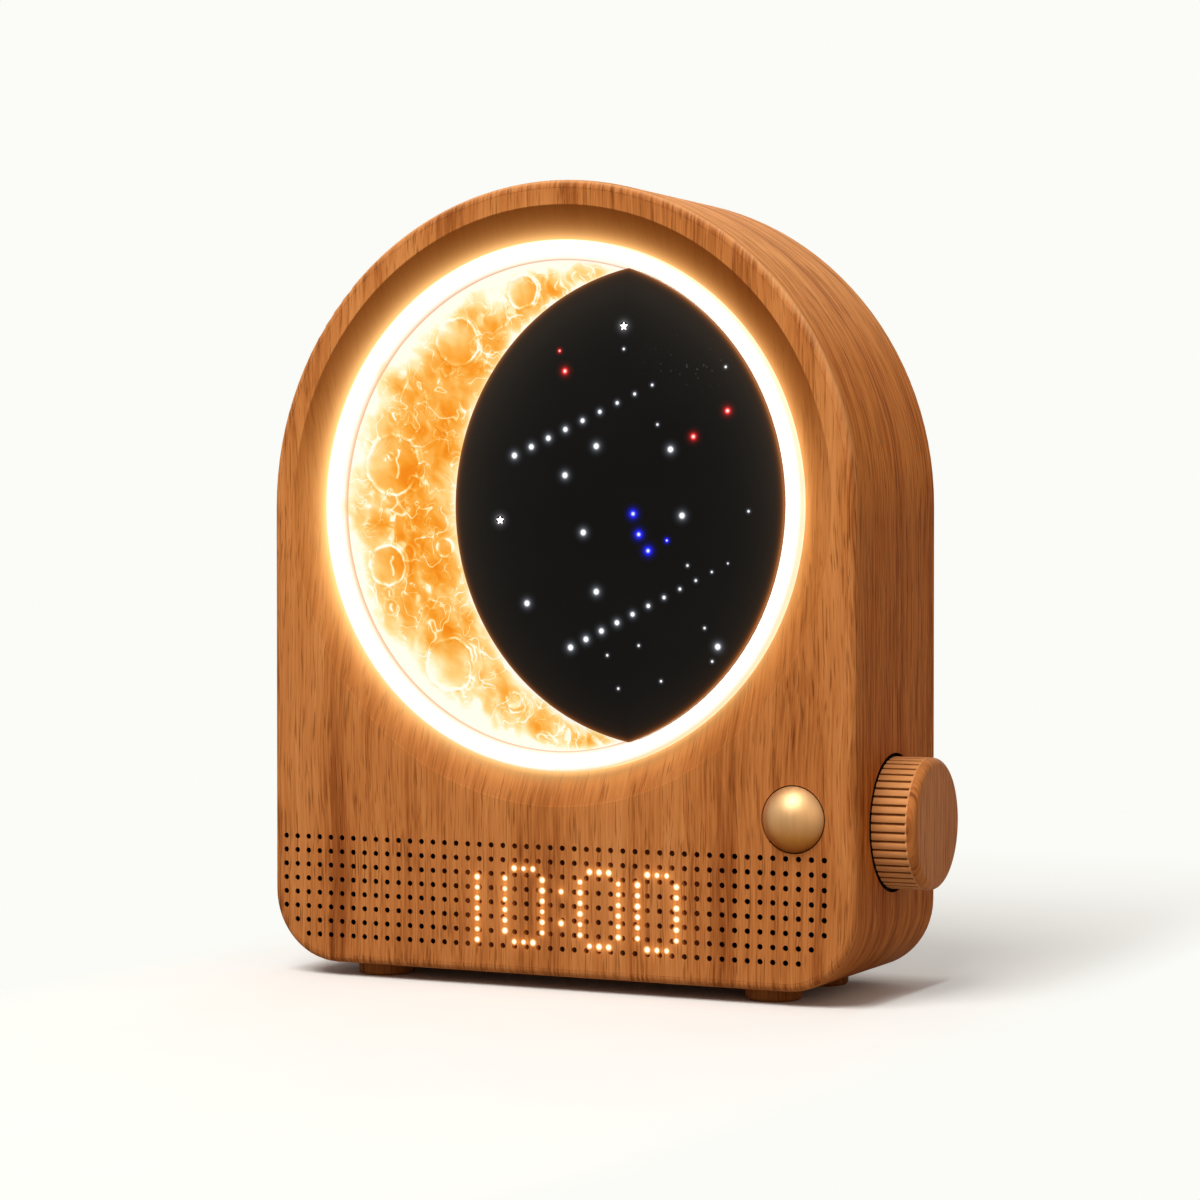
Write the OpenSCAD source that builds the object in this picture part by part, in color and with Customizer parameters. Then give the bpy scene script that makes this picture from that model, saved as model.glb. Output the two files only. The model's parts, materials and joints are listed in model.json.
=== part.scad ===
// Sunrise alarm clock: a bent-wood arch case with a light ring, a crescent moon, a star panel,
// a dot display behind a drilled grille, a brass button and a fluted side knob.
// It stands on Z = 0, its front faces -Y and the knob is on the +X side.

/* [Case] */
// Width of the case
case_w = 160; // [144:1:176]
// Height of the case without its feet
case_h = 196; // [180:1:216]
// Depth of the case
case_d = 55; // [52:1:70]
// Thickness of the bent-wood hoop
wall = 6; // [5:0.5:7]
// Radius of the bottom corners
corner_r = 18; // [14:1:22]
// Rounding of the hoop's front and rear edges, and width of its lips
edge_r = 2; // [1.6:0.2:2.4]
// Thickness of the front panel
front_t = 10; // [9:0.5:11]
// Thickness of the back panel
back_t = 4; // [3:0.5:5]
// Diameter of a foot
foot_d = 14; // [12:1:18]
// Height of a foot
foot_h = 3.5; // [3:0.5:6]
// Distance of the feet from the sides of the case
foot_side = 26; // [22:1:40]
// Distance of the feet from the front and rear faces
foot_y = 12.5; // [12.5:0.5:16]

/* [Lamp] */
// Least width of the flat face between the case's edge and the dish
face_w = 6; // [5:0.5:9]
// Least height of the panel under the dish
base_h = 42; // [40:0.5:46]
// Width of the sloping dish
dish_w = 8.5; // [7.5:0.5:11]
// Depth of the dish at the light ring
dish_depth = 4; // [2:0.5:5]
// Width of the light ring
ring_w = 4; // [3:0.5:5]
// Depth of the light ring's front behind the face
ring_front = 0.8; // [0.4:0.2:1.2]
// Width of the moon crescent at its middle, as a share of the moon's radius
crescent_share = 0.548; // [0.5:0.002:0.6]
// Radius of the star panel's left edge, as a share of the moon's radius
star_arc_share = 0.96; // [0.9:0.002:1]
// Depth of the star panel's front behind the face
star_front = 1.4; // [1.2:0.2:2]
// Thickness of the star panel
star_t = 1.6; // [1.2:0.2:2]
// Thickness of the moon disc
moon_t = 2.2; // [1.6:0.2:3]
// Depth of the lamp housing behind the front panel
housing_d = 16; // [14:1:18]

/* [Grille] */
// Rows of holes
grille_rows = 8; // [5:1:8]
// Height of the top row above the case's underside
grille_top = 31.9; // [31:0.1:32]
// Spacing of the holes along a row
grille_dx = 3.3; // [2.8:0.1:4]
// Spacing of the rows
grille_dz = 3.55; // [3:0.05:3.6]
// Radius of a hole
grille_r = 0.7; // [0.5:0.05:0.8]
// Depth of a hole
grille_depth = 4; // [3.4:0.2:5]
// Wood left in front of the speakers
grille_t = 3; // [2:0.25:3.25]

/* [Display] */
// Columns of dots
dot_cols = 22; // [18:1:22]
// Rows of dots
dot_rows = 8; // [7:1:8]
// Spacing of the dots
dot_pitch = 2.6; // [2.4:0.05:2.6]
// Middle of the display to the right of the case's middle, as a share of the case's width
display_share = 0.0406; // [0.02:0.0002:0.05]
// Height of the display's middle above the case's underside
display_z = 17.3; // [17.3:0.1:19]
// Wood left in front of the display
veneer_t = 1.2; // [0.8:0.1:1.6]

/* [Button] */
// Radius of the brass button
button_r = 7.9; // [6.5:0.1:8]
// Height of its dome over the face
button_rise = 4.6; // [3:0.2:6]
// Distance of its middle from the case's side
button_side = 15.8; // [14:0.2:18]
// Height of its middle above the case's underside
button_z = 41.3; // [41.3:0.1:46]
// Travel of the button
button_travel = 1; // [0.6:0.1:1.2]

/* [Knob] */
// Radius of the knob
knob_r = 16; // [13:0.5:17]
// How far the knob stands out of the case's side
knob_reach = 11; // [9:0.5:16]
// Height of its axis above the case's underside
knob_z = 39.2; // [36:0.2:46]
// Depth of its axis behind the face
knob_y = 26; // [26:0.5:30]
// Number of flutes
flutes = 46; // [36:2:64]
// Radius of a flute
flute_r = 0.35; // [0.25:0.05:0.6]
// Depth of the recess round the knob
recess_depth = 1.5; // [1:0.1:1.8]

/* [Electronics] */
// Width of a speaker, as a share of the case's width
speaker_share = 0.1625; // [0.14:0.0025:0.175]
// Height of a speaker
speaker_h = 18; // [14:1:20]
// Width of the main board
board_w = 72; // [64:2:90]
// Height of the main board's lower edge above the case's underside
board_z = 14; // [12:0.5:15]
// Height of the power inlet above the case's underside
inlet_z = 24; // [22:0.5:30]

/* [Hidden] */
$fn = 96;
SMALL = 24;
eps = 0.01;

// Clearances
glue_gap = 0.05;
cover_gap = 0.3;
ring_gap = 0.4;
slide_gap = 0.3;
run_gap = 0.05;
pin_gap = 0.05;
seat_gap = 0.5;
led_gap = 0.2;
ribbon_gap = 0.1;
tip_gap = 0.5;

// Case
arch_r = case_w / 2;
arch_z = case_h - arch_r;
inner_x = arch_r - wall;
back_y = case_d - back_t;
foot_x = arch_r - foot_side;
shift = [-knob_reach / 2, -(case_d - button_rise) / 2, foot_h];

// Lamp, turned about the middle of the arch, in the room that the rim and the panel under it leave
dish_r = min(arch_r - face_w, arch_z - base_h);
ring_r = dish_r - dish_w;
ring_in = ring_r - ring_w;
moon_r = ring_in - ring_gap;
bore_gap = 0.2;
dish_floor = 0.7;
dish_floor_r = ring_r + dish_floor;
crescent_w = crescent_share * moon_r;
star_arc_r = star_arc_share * moon_r;
lens_x = crescent_w + star_arc_r - moon_r;
star_back = star_front + star_t;
moon_gap = 0.1;
moon_front = star_back + moon_gap;
moon_back = moon_front + moon_t;
ring_flange = 1.3;
ring_flange_t = 1.5;
ring_round = 1.2;
housing_lap = 0.3;
housing_in = ring_r - housing_lap;
housing_step = ring_r + ring_flange + bore_gap;
housing_t = 1.4;
housing_out = housing_step + housing_t;
flange_gap = 0.7;
flange_r = min(inner_x, dish_r) - flange_gap;
flange_t = 2.5;
divider_t = 2;
floor_t = 2;
floor_y = front_t + housing_d - floor_t;
lens_wall_gap = 1;
lens_wall_t = 1.8;
star_ledge = 2;
lamp_screw_r = (housing_out + flange_r) / 2;
lamp_screws_n = 6;
pcb_t = 1.6;
led_h = 1;
ring_leds_n = 36;
ring_led_w = 2;
ring_led_l = 3;
moon_led_pitch = 12;
moon_led_w = 3;
moon_led_margin = 3;

// Stars, placed about the middle of the lamp in hundredths of the moon's radius: across, up
star_unit = moon_r / 100;
point_star_r = 1.1;
point_stars = [[31.1, 71.3], [-24.6, -5.7]];
big_star_r = 0.65;
big_stars = [
    [18.9, 23.8], [51.6, 22.1], [4.9, 12.3], [56.6, -4.1],
    [13.1, -10.7], [18.9, -34.4], [-12.3, -39.3], [72.1, -55.7]
];
small_star_r = 0.4;
small_stars = [
    [31.1, 62.3], [75.4, 54.1], [45.9, 32], [85.2, -2.5], [59, -23.8], [69.7, -61.5],
    [28.7, -73], [47.5, -69.7], [23.8, -59.8], [37.7, -55.7], [66.4, -48.4]
];
red_stars = [[2.5, 62.3], [4.9, 54.1], [76.2, 36.9], [61.5, 27]];
blue_stars = [[35.2, -3.3], [37.7, -11.5], [41.8, -18], [50, -13.9]];
trail_fade = 0.03;
upper_trail = [for (i = [0 : 8]) [-18 + 7.7 * i, 20.5 + 3.4 * i, big_star_r - trail_fade * i]];
lower_trail = [for (i = [0 : 10]) [7.4 + 6.9 * i, -56.9 + 3.4 * i, big_star_r - trail_fade * i]];
white_stars = concat(
    [for (s = big_stars) [s[0], s[1], big_star_r]],
    [for (s = small_stars) [s[0], s[1], small_star_r]],
    upper_trail,
    lower_trail
);
red_pins = [for (s = red_stars) [s[0], s[1], big_star_r]];
blue_pins = [for (s = blue_stars) [s[0], s[1], big_star_r]];
all_stars = concat(
    white_stars,
    red_pins,
    blue_pins,
    [for (s = point_stars) [s[0], s[1], point_star_r]]
);
collar = 0.35;
collar_t = 1.2;
star_led_y = star_back + collar_t + cover_gap;
star_led_w = 1.4;
star_board_y = star_led_y + led_h;

// Craters of the moon in the same unit: across, up, radius
craters = [
    [-45.4, 67.2, 9.5], [-15.7, 86.9, 6.6], [-76.4, 17.7, 12.3],
    [-78.7, -24.3, 8.2], [-49.2, -64.8, 10.7], [-51.6, -17, 3.6]
];
crater_depth = 0.9;
crater_lip = 0.4;

// Grille
grille_left = 3.7;
grille_right = 7.7;
grille_cols = 1 + floor((case_w - grille_left - grille_right) / grille_dx);
grille_x0 = grille_left - case_w / 2;
grille_inset = 8;
grille_corner = corner_r - grille_inset;

// Display
display_x = display_share * case_w;
dots_w = (dot_cols - 1) * dot_pitch;
dots_h = (dot_rows - 1) * dot_pitch;
baffle_rim = 2;
baffle_edge = 1;
baffle_w = dots_w + 2 * baffle_rim;
baffle_h = dots_h + 2 * baffle_rim;
baffle_hole_r = 0.95;
display_led_w = 1.4;
ear = 5;
display_board_w = baffle_w + 2 * ear;
display_board_z = wall + seat_gap;
display_board_rim = 1;
display_board_h = display_z + baffle_h / 2 + display_board_rim - display_board_z;
display_screw_dz = 6;

// Speakers, behind the ends of the grille
speaker_side = 1.5;
speaker_w = speaker_share * case_w;
speaker_x = inner_x - speaker_side - speaker_w / 2;
speaker_z = wall + speaker_side + speaker_h / 2;
speaker_rim = 1.5;
speaker_rim_t = 1.6;
speaker_d = 6;
magnet_t = 4.5;
magnet_side = 2.5;
magnet_r = speaker_h / 2 - magnet_side;
magnet_lip = 1;
magnet_spigot = 1.2;
speaker_sheet = 0.5;
speaker_back_t = 1;
speaker_window = 2;
speaker_window_side = 2.5;
cone_rim = 1.5;
cone_coil = 2;
cone_y = 0.6;
cone_d = 2.6;

// Button, from the front backwards
button_x = arch_r - button_side;
button_web = 5.6;
stop_gap = 0.1;
button_flange = 1.5;
button_flange_t = 1.2;
button_flange_y = button_web + stop_gap;
spring_y = button_flange_y + button_flange_t;
guide_t = 2;
guide_recess = 0.6;
stem_r = 3;
stem_out = 0.8;
stem_end = front_t + guide_t + stem_out;
spring_r = 4.7;
wire_r = 0.35;
spring_turns = 2.5;
switch_gap = 0.4;
switch_y = stem_end + button_travel + switch_gap;
switch_t = 2.6;
switch_w = 6;
plunger_r = 1.7;
plunger_in = 0.6;
control_y = switch_y + switch_t;
control_left = 16;
control_right = 8;
control_low = 9.5;
control_high = 13;
post_r = 3;
post_low = 6;
post_high = 9.8;
post_right = 4.5;
posts = [
    [button_x - control_left + post_r, button_z - post_low],
    [button_x + post_right, button_z + post_high]
];

// Knob and encoder along X
recess_gap = 0.9;
recess_r = knob_r + recess_gap;
recess_x = arch_r - recess_depth;
knob_gap = 0.5;
knob_x = recess_x + knob_gap;
knob_face = arch_r + knob_reach;
knob_round = 1.8;
knob_cavity_r = 8.5;
knob_cavity = 3.6;
shaft_r = 2.95;
knob_cap_t = 3;
shaft_end = knob_face - knob_cap_t;
flat_in = 0.4;
flat_x = knob_x + knob_cavity + flat_in;
flat_y = 1.6;
bush_r = 3.5;
bush_out = 2.6;
bush_end = recess_x + bush_out;
nut_t = 2;
nut_r = 5.77;
encoder_w = 12;
encoder_d = 6.3;
shaft_in = 4.8;
shaft_start = inner_x - shaft_in;
flute_stop = 0.6;

// Main board, on pillars in front of the back panel
pillar_l = 5;
pillar_r = 2.5;
pillar_inset = 4;
main_y = back_y - pillar_l - pcb_t;
socket_d = 4;
socket_y = main_y - socket_d;
ribbon_w = 10;
ribbon_t = 0.6;
ribbon_in = 2;
lamp_ribbon_x = -2;
lamp_ribbon_share = 0.9;
lamp_ribbon_z = arch_z - lamp_ribbon_share * moon_r;
board_rim = 5;
board_h = lamp_ribbon_z + board_rim - board_z;
display_ribbon_up = 6;
display_ribbon_z = board_z + display_ribbon_up;
socket_rim = 2;
socket_h = 4;
display_socket_d = 3;
cell_r = 10;
cell_t = 3.2;
cell_x = 18;
cell_up = 2;
cell_z = board_z + board_h / 2 + cell_up;
holder_t = 0.8;
holder_rim = 1.5;
chip_w = 10;
chip_t = 1.2;
usb_w = 9;
usb_h = 3.2;
usb_shell = 0.33;
usb_back_t = 1;
usb_sunk = 0.5;
usb_end = case_d - usb_sunk;
usb_tongue_side = 1.2;
usb_tongue_t = 0.7;
usb_tongue_in = 0.8;
lead_r = 0.9;
lead_bend = 4;
lead_x = speaker_x - speaker_w / 4;
lead_drop = 3.5;
lead_z = speaker_z + speaker_h / 2 - lead_drop;
lead_in = 1.5;
lead_y = socket_y - lead_bend - seat_gap;
lead_socket_side = 12;
lead_socket_x = board_w / 2 - lead_socket_side;
lead_socket = 5;

// Back panel
vent_n = 5;
vent_w = 44;
vent_h = 3;
vent_dz = 7;
vent_up = 24;
vent_z = arch_z + vent_up;
cleat_w = 10;
cleat_d = 14;
cleat_h = 20;
cleat_up = 16;
cleat_down = 12;
cleat_low = corner_r + cleat_up;
cleat_high = arch_z - cleat_down;

// Screws
wood_screw_r = 1;
wood_head_r = 2.4;
cap_head_r = 1.8;
cap_head_h = 1.4;
slot_w = 0.5;
slot_depth = 0.5;
back_screw_l = 13;
lamp_pilot = 5.5;
foot_screw_r = 1.2;
foot_head_r = 2.5;
foot_head_h = 1.1;
foot_head_z = 0.5;
foot_round = 1;
foot_pilot = wall - 1;

// From the case's own frame (middle, face and underside of the case) to the part's frame
module placed() {
    translate(shift) children();
}

// A drawing in X and Z, thickened between two depths
module slab(y0, y1) {
    translate([0, y1, 0]) rotate([90, 0, 0]) linear_extrude(y1 - y0) children();
}

// A profile of radius and depth, turned about an axis along Y
module turned(x, z) {
    translate([x, 0, z]) rotate([-90, 0, 0]) rotate_extrude() children();
}

// A round bar along Y
module rod(x, z, r, y0, y1) {
    translate([x, y0, z]) rotate([-90, 0, 0]) cylinder(r = r, h = y1 - y0);
}

// A round bar along X on the knob's axis
module axle(r, x0, x1) {
    translate([x0, knob_y, knob_z]) rotate([0, 90, 0]) cylinder(r = r, h = x1 - x0);
}

// A box between two depths, centred in X and Z
module block(x, z, w, h, y0, y1) {
    translate([x - w / 2, y0, z - h / 2]) cube([w, y1 - y0, h]);
}

module racetrack(w, h) {
    square([w - h, h], center = true);
    for (side = [-1, 1]) translate([side * (w - h) / 2, 0]) circle(d = h);
}

// The outline of the arch, drawn in X and Z and set in from the case's outside
module arch_outline(inset) {
    w = case_w - 2 * inset;
    translate([0, arch_z]) circle(arch_r - inset);
    translate([-w / 2, corner_r]) square([w, arch_z - corner_r]);
    translate([-arch_r + corner_r, inset]) square([case_w - 2 * corner_r, corner_r]);
    for (side = [-1, 1])
        translate([side * (arch_r - corner_r), corner_r]) circle(corner_r - inset);
}

// The hoop's wall, drawn as the distance in from its outside and the depth
module wall_section() {
    difference() {
        union() {
            translate([0, edge_r]) square([wall, case_d - 2 * edge_r]);
            translate([edge_r, 0]) square([wall - edge_r, case_d]);
            for (y = [edge_r, case_d - edge_r]) translate([edge_r, y]) circle(edge_r, $fn = SMALL);
        }
        translate([edge_r, -1]) square([wall, front_t + 1]);
        translate([edge_r, back_y]) square([wall, back_t + 1]);
    }
}

// A bend of the hoop about an axis along Y, from one angle over another
module bend(x, z, r, from, sweep) {
    translate([x, 0, z]) rotate([90, -from, 0]) rotate_extrude(angle = sweep)
        translate([r, 0]) mirror([1, 0]) mirror([0, 1]) wall_section();
}

module hoop() {
    bend(0, arch_z, arch_r, 0, 180);
    for (side = [0, 1]) mirror([side, 0, 0]) {
        bend(arch_r - corner_r, corner_r, corner_r, -90, 90);
        translate([arch_r, 0, corner_r]) mirror([1, 0, 0])
            linear_extrude(arch_z - corner_r) wall_section();
    }
    translate([arch_r - corner_r, 0, 0]) rotate([0, -90, 0])
        linear_extrude(case_w - 2 * corner_r) wall_section();
}

// A countersunk screw, or with a gap the hole for one, its head's top at Z = 0 and its shank along +Z
module csk_screw(length, gap = 0) {
    head = wood_head_r + gap;
    shank = wood_screw_r + gap;
    rotate_extrude($fn = SMALL)
        polygon([[0, -gap], [head, -gap], [head, 0], [shank, head - shank], [shank, length], [0, length]]);
}

// A screw with a cylindrical head, its seat at Z = 0 and its shank along +Z
module cap_screw(head_r, head_h, shank_r, length) {
    difference() {
        union() {
            translate([0, 0, -head_h]) cylinder(r = head_r, h = head_h, $fn = SMALL);
            cylinder(r = shank_r, h = length, $fn = SMALL);
        }
        translate([0, 0, -head_h]) cube([2 * head_r + 1, slot_w, 2 * slot_depth], center = true);
    }
}

module at_feet() {
    for (x = [-foot_x, foot_x], y = [foot_y, case_d - foot_y]) translate([x, y, 0]) children();
}

module at_cleats() {
    for (side = [-1, 1], z = [cleat_low, cleat_high])
        translate([side * (inner_x - cleat_w / 2), 0, z]) children();
}

module at_lamp_screws() {
    for (i = [0 : lamp_screws_n - 1]) {
        a = 360 * (i + 0.5) / lamp_screws_n;
        translate([lamp_screw_r * cos(a), 0, arch_z + lamp_screw_r * sin(a)]) children();
    }
}

module at_display_screws() {
    for (side = [-1, 1], up = [-1, 1])
        translate([
            display_x + side * (display_board_w - ear) / 2,
            0,
            display_z + up * display_screw_dz
        ]) children();
}

module at_pillars() {
    for (side = [-1, 1], z = [board_z + pillar_inset, board_z + board_h - pillar_inset])
        translate([side * (board_w / 2 - pillar_inset), 0, z]) children();
}

module at_posts() {
    for (p = posts) translate([p[0], 0, p[1]]) children();
}

// CASE
module case_band() {
    color("peru") placed() difference() {
        hoop();
        axle(recess_r, recess_x, arch_r + 1);
        axle(bush_r + pin_gap, inner_x - 1, arch_r);
        at_feet() translate([0, 0, -1]) cylinder(r = foot_screw_r + pin_gap, h = 1 + foot_pilot, $fn = SMALL);
    }
}

// A hole of the grille is left out where the grille's lower corners are round
function from_corner(c, r) = [
    max(0, grille_corner - grille_dx * min(c, grille_cols - 1 - c)),
    max(0, grille_corner - grille_dz * (grille_rows - 1 - r))
];
function in_grille(c, r) = norm(from_corner(c, r)) < grille_corner + grille_r;

module grille_holes() {
    for (r = [0 : grille_rows - 1], c = [0 : grille_cols - 1])
        if (in_grille(c, r))
            translate([grille_x0 + grille_dx * c, -1, grille_top - grille_dz * r])
                rotate([-90, 0, 0]) cylinder(r = grille_r, h = grille_depth + 1, $fn = SMALL);
}

module speaker_mouths() {
    for (side = [-1, 1])
        slab(grille_t, front_t + 1)
            translate([side * speaker_x, speaker_z])
                racetrack(speaker_w - 2 * speaker_rim, speaker_h - 2 * speaker_rim);
}

module front_panel() {
    color("chocolate") placed() difference() {
        slab(0, front_t) arch_outline(edge_r + glue_gap);
        turned(0, arch_z)
            polygon([[0, -eps], [dish_r, -eps], [dish_r, 0], [dish_floor_r, dish_depth], [0, dish_depth]]);
        rod(0, arch_z, ring_r + bore_gap, -1, front_t + 1);
        grille_holes();
        speaker_mouths();
        block(display_x, display_z, baffle_w + 2 * slide_gap, baffle_h + 2 * slide_gap,
            veneer_t, front_t + 1);
        rod(button_x, button_z, button_r + slide_gap, -1, front_t);
        rod(button_x, button_z, button_r + button_flange + slide_gap, button_web, front_t + 1);
        at_lamp_screws() rod(0, 0, wood_screw_r + pin_gap, front_t - lamp_pilot, front_t + 1);
        at_posts() rod(0, 0, wood_screw_r + pin_gap, front_t - lamp_pilot, front_t + 1);
        at_display_screws() rod(0, 0, wood_screw_r + pin_gap, front_t - lamp_pilot, front_t + 1);
    }
}

module back_panel() {
    color("sienna") placed() difference() {
        slab(back_y, case_d) arch_outline(edge_r + cover_gap);
        slab(back_y - 1, case_d + 1)
            translate([0, inlet_z]) racetrack(usb_w + 2 * slide_gap, usb_h + 2 * slide_gap);
        for (i = [0 : vent_n - 1])
            slab(back_y - 1, case_d + 1) translate([0, vent_z + i * vent_dz]) racetrack(vent_w, vent_h);
        at_cleats() translate([0, case_d, 0]) rotate([90, 0, 0]) csk_screw(back_t + 1, 2 * pin_gap);
        at_pillars() rod(0, 0, wood_screw_r + pin_gap, back_y - 1, back_y + back_t / 2);
    }
}

module back_cleats() {
    color("burlywood") placed() at_cleats() difference() {
        block(0, 0, cleat_w, cleat_h, back_y - cleat_d, back_y);
        rod(0, 0, wood_screw_r + pin_gap, case_d - back_screw_l - tip_gap, back_y + 1);
    }
}

module back_screws() {
    color("dimgray") placed() at_cleats() translate([0, case_d, 0]) rotate([90, 0, 0])
        csk_screw(back_screw_l);
}

// A turned foot with a rounded lower edge and a sunk screw hole, standing on Z = -foot_h
module foot(x, y) {
    r = foot_d / 2;
    color("saddlebrown") placed() translate([x, y, -foot_h]) difference() {
        rotate_extrude() {
            translate([0, foot_round]) square([r, foot_h - foot_round]);
            square([r - foot_round, foot_h]);
            translate([r - foot_round, foot_round]) circle(foot_round, $fn = SMALL);
        }
        translate([0, 0, -1]) cylinder(r = foot_screw_r + pin_gap, h = foot_h + 2, $fn = SMALL);
        translate([0, 0, -1])
            cylinder(r = foot_head_r + pin_gap, h = 1 + foot_head_z + foot_head_h, $fn = SMALL);
    }
}

module foot_screws() {
    seat_z = foot_head_z + foot_head_h - foot_h;
    color("dimgray") placed() at_feet() translate([0, 0, seat_z])
        cap_screw(foot_head_r, foot_head_h, foot_screw_r, foot_pilot - tip_gap - seat_z);
}

// LAMP
module ring_diffuser() {
    color("ivory") placed() turned(0, arch_z) {
        translate([ring_in, ring_front + ring_round]) square([ring_w, front_t - ring_front - ring_round]);
        translate([ring_in + ring_round, ring_front]) square([ring_w - 2 * ring_round, ring_round + 1]);
        for (r = [ring_in + ring_round, ring_r - ring_round])
            translate([r, ring_front + ring_round]) circle(ring_round, $fn = SMALL);
        translate([ring_in, front_t]) square([ring_w + ring_flange, ring_flange_t]);
    }
}

// The star panel's outline: the lamp's circle cut by a second circle, set in by an amount
module lens(inset) {
    intersection() {
        circle(moon_r - inset);
        translate([lens_x, 0]) circle(star_arc_r - inset);
    }
}

// The moon's outline: what the second circle leaves of a circle of the given radius
module crescent(r, grow) {
    difference() {
        circle(r);
        translate([lens_x, 0]) circle(star_arc_r - lens_wall_gap + grow);
    }
}

// A drawing about the middle of the lamp, thickened between two depths
module lamp_slab(y0, y1) {
    translate([0, 0, arch_z]) slab(y0, y1) children();
}

module lamp_housing() {
    inner = moon_r - divider_t;
    flange_y = front_t + flange_t;
    shelf_y = front_t + ring_flange_t;
    color("whitesmoke") placed() difference() {
        union() {
            turned(0, arch_z) {
                translate([housing_step, front_t]) square([flange_r - housing_step, flange_t]);
                translate([housing_step, flange_y]) square([housing_out - housing_step, floor_y - flange_y]);
                translate([housing_in, shelf_y]) square([housing_out - housing_in, floor_y - shelf_y]);
                translate([inner, moon_back]) square([divider_t, floor_y - moon_back]);
                translate([0, floor_y]) square([housing_out, floor_t]);
            }
            lamp_slab(star_back, floor_y + 1) difference() {
                lens(lens_wall_gap);
                lens(lens_wall_gap + lens_wall_t);
            }
            lamp_slab(star_board_y + pcb_t, floor_y + 1) difference() {
                lens(lens_wall_gap + lens_wall_t / 2);
                lens(lens_wall_gap + lens_wall_t + star_ledge);
            }
        }
        at_lamp_screws() rod(0, 0, wood_screw_r + pin_gap, front_t - 1, flange_y + 1);
        block(lamp_ribbon_x, lamp_ribbon_z, ribbon_w + 2 * seat_gap, ribbon_t + 2 * seat_gap,
            floor_y - 1, floor_y + floor_t + 1);
    }
}

module lamp_screws() {
    color("silver") placed() at_lamp_screws() translate([0, front_t + flange_t, 0]) rotate([90, 0, 0])
        cap_screw(cap_head_r, cap_head_h, wood_screw_r, flange_t + lamp_pilot - tip_gap);
}

module ring_light_board() {
    color("seagreen") placed() turned(0, arch_z)
        translate([moon_r + ring_gap, floor_y - pcb_t])
            square([housing_in - moon_r - 2 * ring_gap, pcb_t]);
}

module ring_leds() {
    mid = (moon_r + housing_in) / 2;
    color("lightyellow") placed() for (i = [0 : ring_leds_n - 1])
        translate([0, 0, arch_z]) rotate([0, 360 * i / ring_leds_n, 0])
            block(mid, 0, ring_led_w, ring_led_l, floor_y - pcb_t - led_h, floor_y - pcb_t);
}

module moon_disc() {
    color("orange") placed() {
        difference() {
            lamp_slab(moon_front, moon_back) crescent(moon_r, slide_gap);
            for (c = craters) {
                r = c[2] * star_unit;
                ball = (r * r + crater_depth * crater_depth) / (2 * crater_depth);
                at_star(c) translate([0, moon_front + crater_depth - ball, 0]) sphere(ball);
            }
        }
        for (c = craters)
            at_star(c) turned(0, 0) translate([c[2] * star_unit, moon_front]) circle(crater_lip, $fn = SMALL);
    }
}

module moon_light_board() {
    color("seagreen") placed() lamp_slab(floor_y - pcb_t, floor_y)
        crescent(moon_r - divider_t - slide_gap, slide_gap);
}

function in_crescent(x, z) =
    norm([x, z]) < moon_r - divider_t - moon_led_margin
    && norm([x - lens_x, z]) > star_arc_r + moon_led_margin;

module moon_leds() {
    reach = floor(moon_r / moon_led_pitch);
    color("lightyellow") placed() for (i = [-reach : reach], j = [-reach : reach]) {
        x = i * moon_led_pitch;
        z = j * moon_led_pitch;
        if (in_crescent(x, z))
            block(x, arch_z + z, moon_led_w, moon_led_w, floor_y - pcb_t - led_h, floor_y - pcb_t);
    }
}

module at_star(s) {
    translate([s[0] * star_unit, 0, arch_z + s[1] * star_unit]) children();
}

// A five-pointed outline
module point_star(r) {
    polygon([for (i = [0 : 9]) (i % 2 == 0 ? r : r * 0.5) * [sin(36 * i), cos(36 * i)]]);
}

module star_panel() {
    color("#201e1c") placed() difference() {
        lamp_slab(star_front, star_back) lens(0);
        for (s = concat(white_stars, red_pins, blue_pins))
            at_star(s) rod(0, 0, s[2] + pin_gap, star_front - 1, star_back + 1, $fn = SMALL);
        for (s = point_stars)
            at_star(s) slab(star_front - 1, star_back + 1) point_star(point_star_r + pin_gap);
    }
}

// Light pins with a collar behind the panel
module star_pins(list) {
    for (s = list) at_star(s) {
        rod(0, 0, s[2], star_front, star_back + collar_t, $fn = SMALL);
        rod(0, 0, s[2] + collar, star_back, star_back + collar_t, $fn = SMALL);
    }
}

module star_pins_white() {
    color("white") placed() {
        star_pins(white_stars);
        for (s = point_stars) at_star(s) {
            slab(star_front, star_back + collar_t / 2) point_star(point_star_r);
            rod(0, 0, point_star_r + collar, star_back, star_back + collar_t, $fn = SMALL);
        }
    }
}

module star_pins_red() {
    color("red") placed() star_pins(red_pins);
}

module star_pins_blue() {
    color("blue") placed() star_pins(blue_pins);
}

module star_light_board() {
    color("seagreen") placed() lamp_slab(star_board_y, star_board_y + pcb_t)
        lens(lens_wall_gap + lens_wall_t + glue_gap);
}

module star_leds() {
    color("lightyellow") placed() for (s = all_stars)
        at_star(s) block(0, 0, star_led_w, star_led_w, star_led_y, star_board_y);
}

module lamp_ribbon() {
    color("lightgray") placed()
        block(lamp_ribbon_x, lamp_ribbon_z, ribbon_w, ribbon_t, floor_y, socket_y + ribbon_in);
}

// DISPLAY
module at_dots() {
    for (c = [0 : dot_cols - 1], r = [0 : dot_rows - 1])
        translate([
            display_x - dots_w / 2 + c * dot_pitch,
            0,
            display_z - dots_h / 2 + r * dot_pitch
        ]) children();
}

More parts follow.
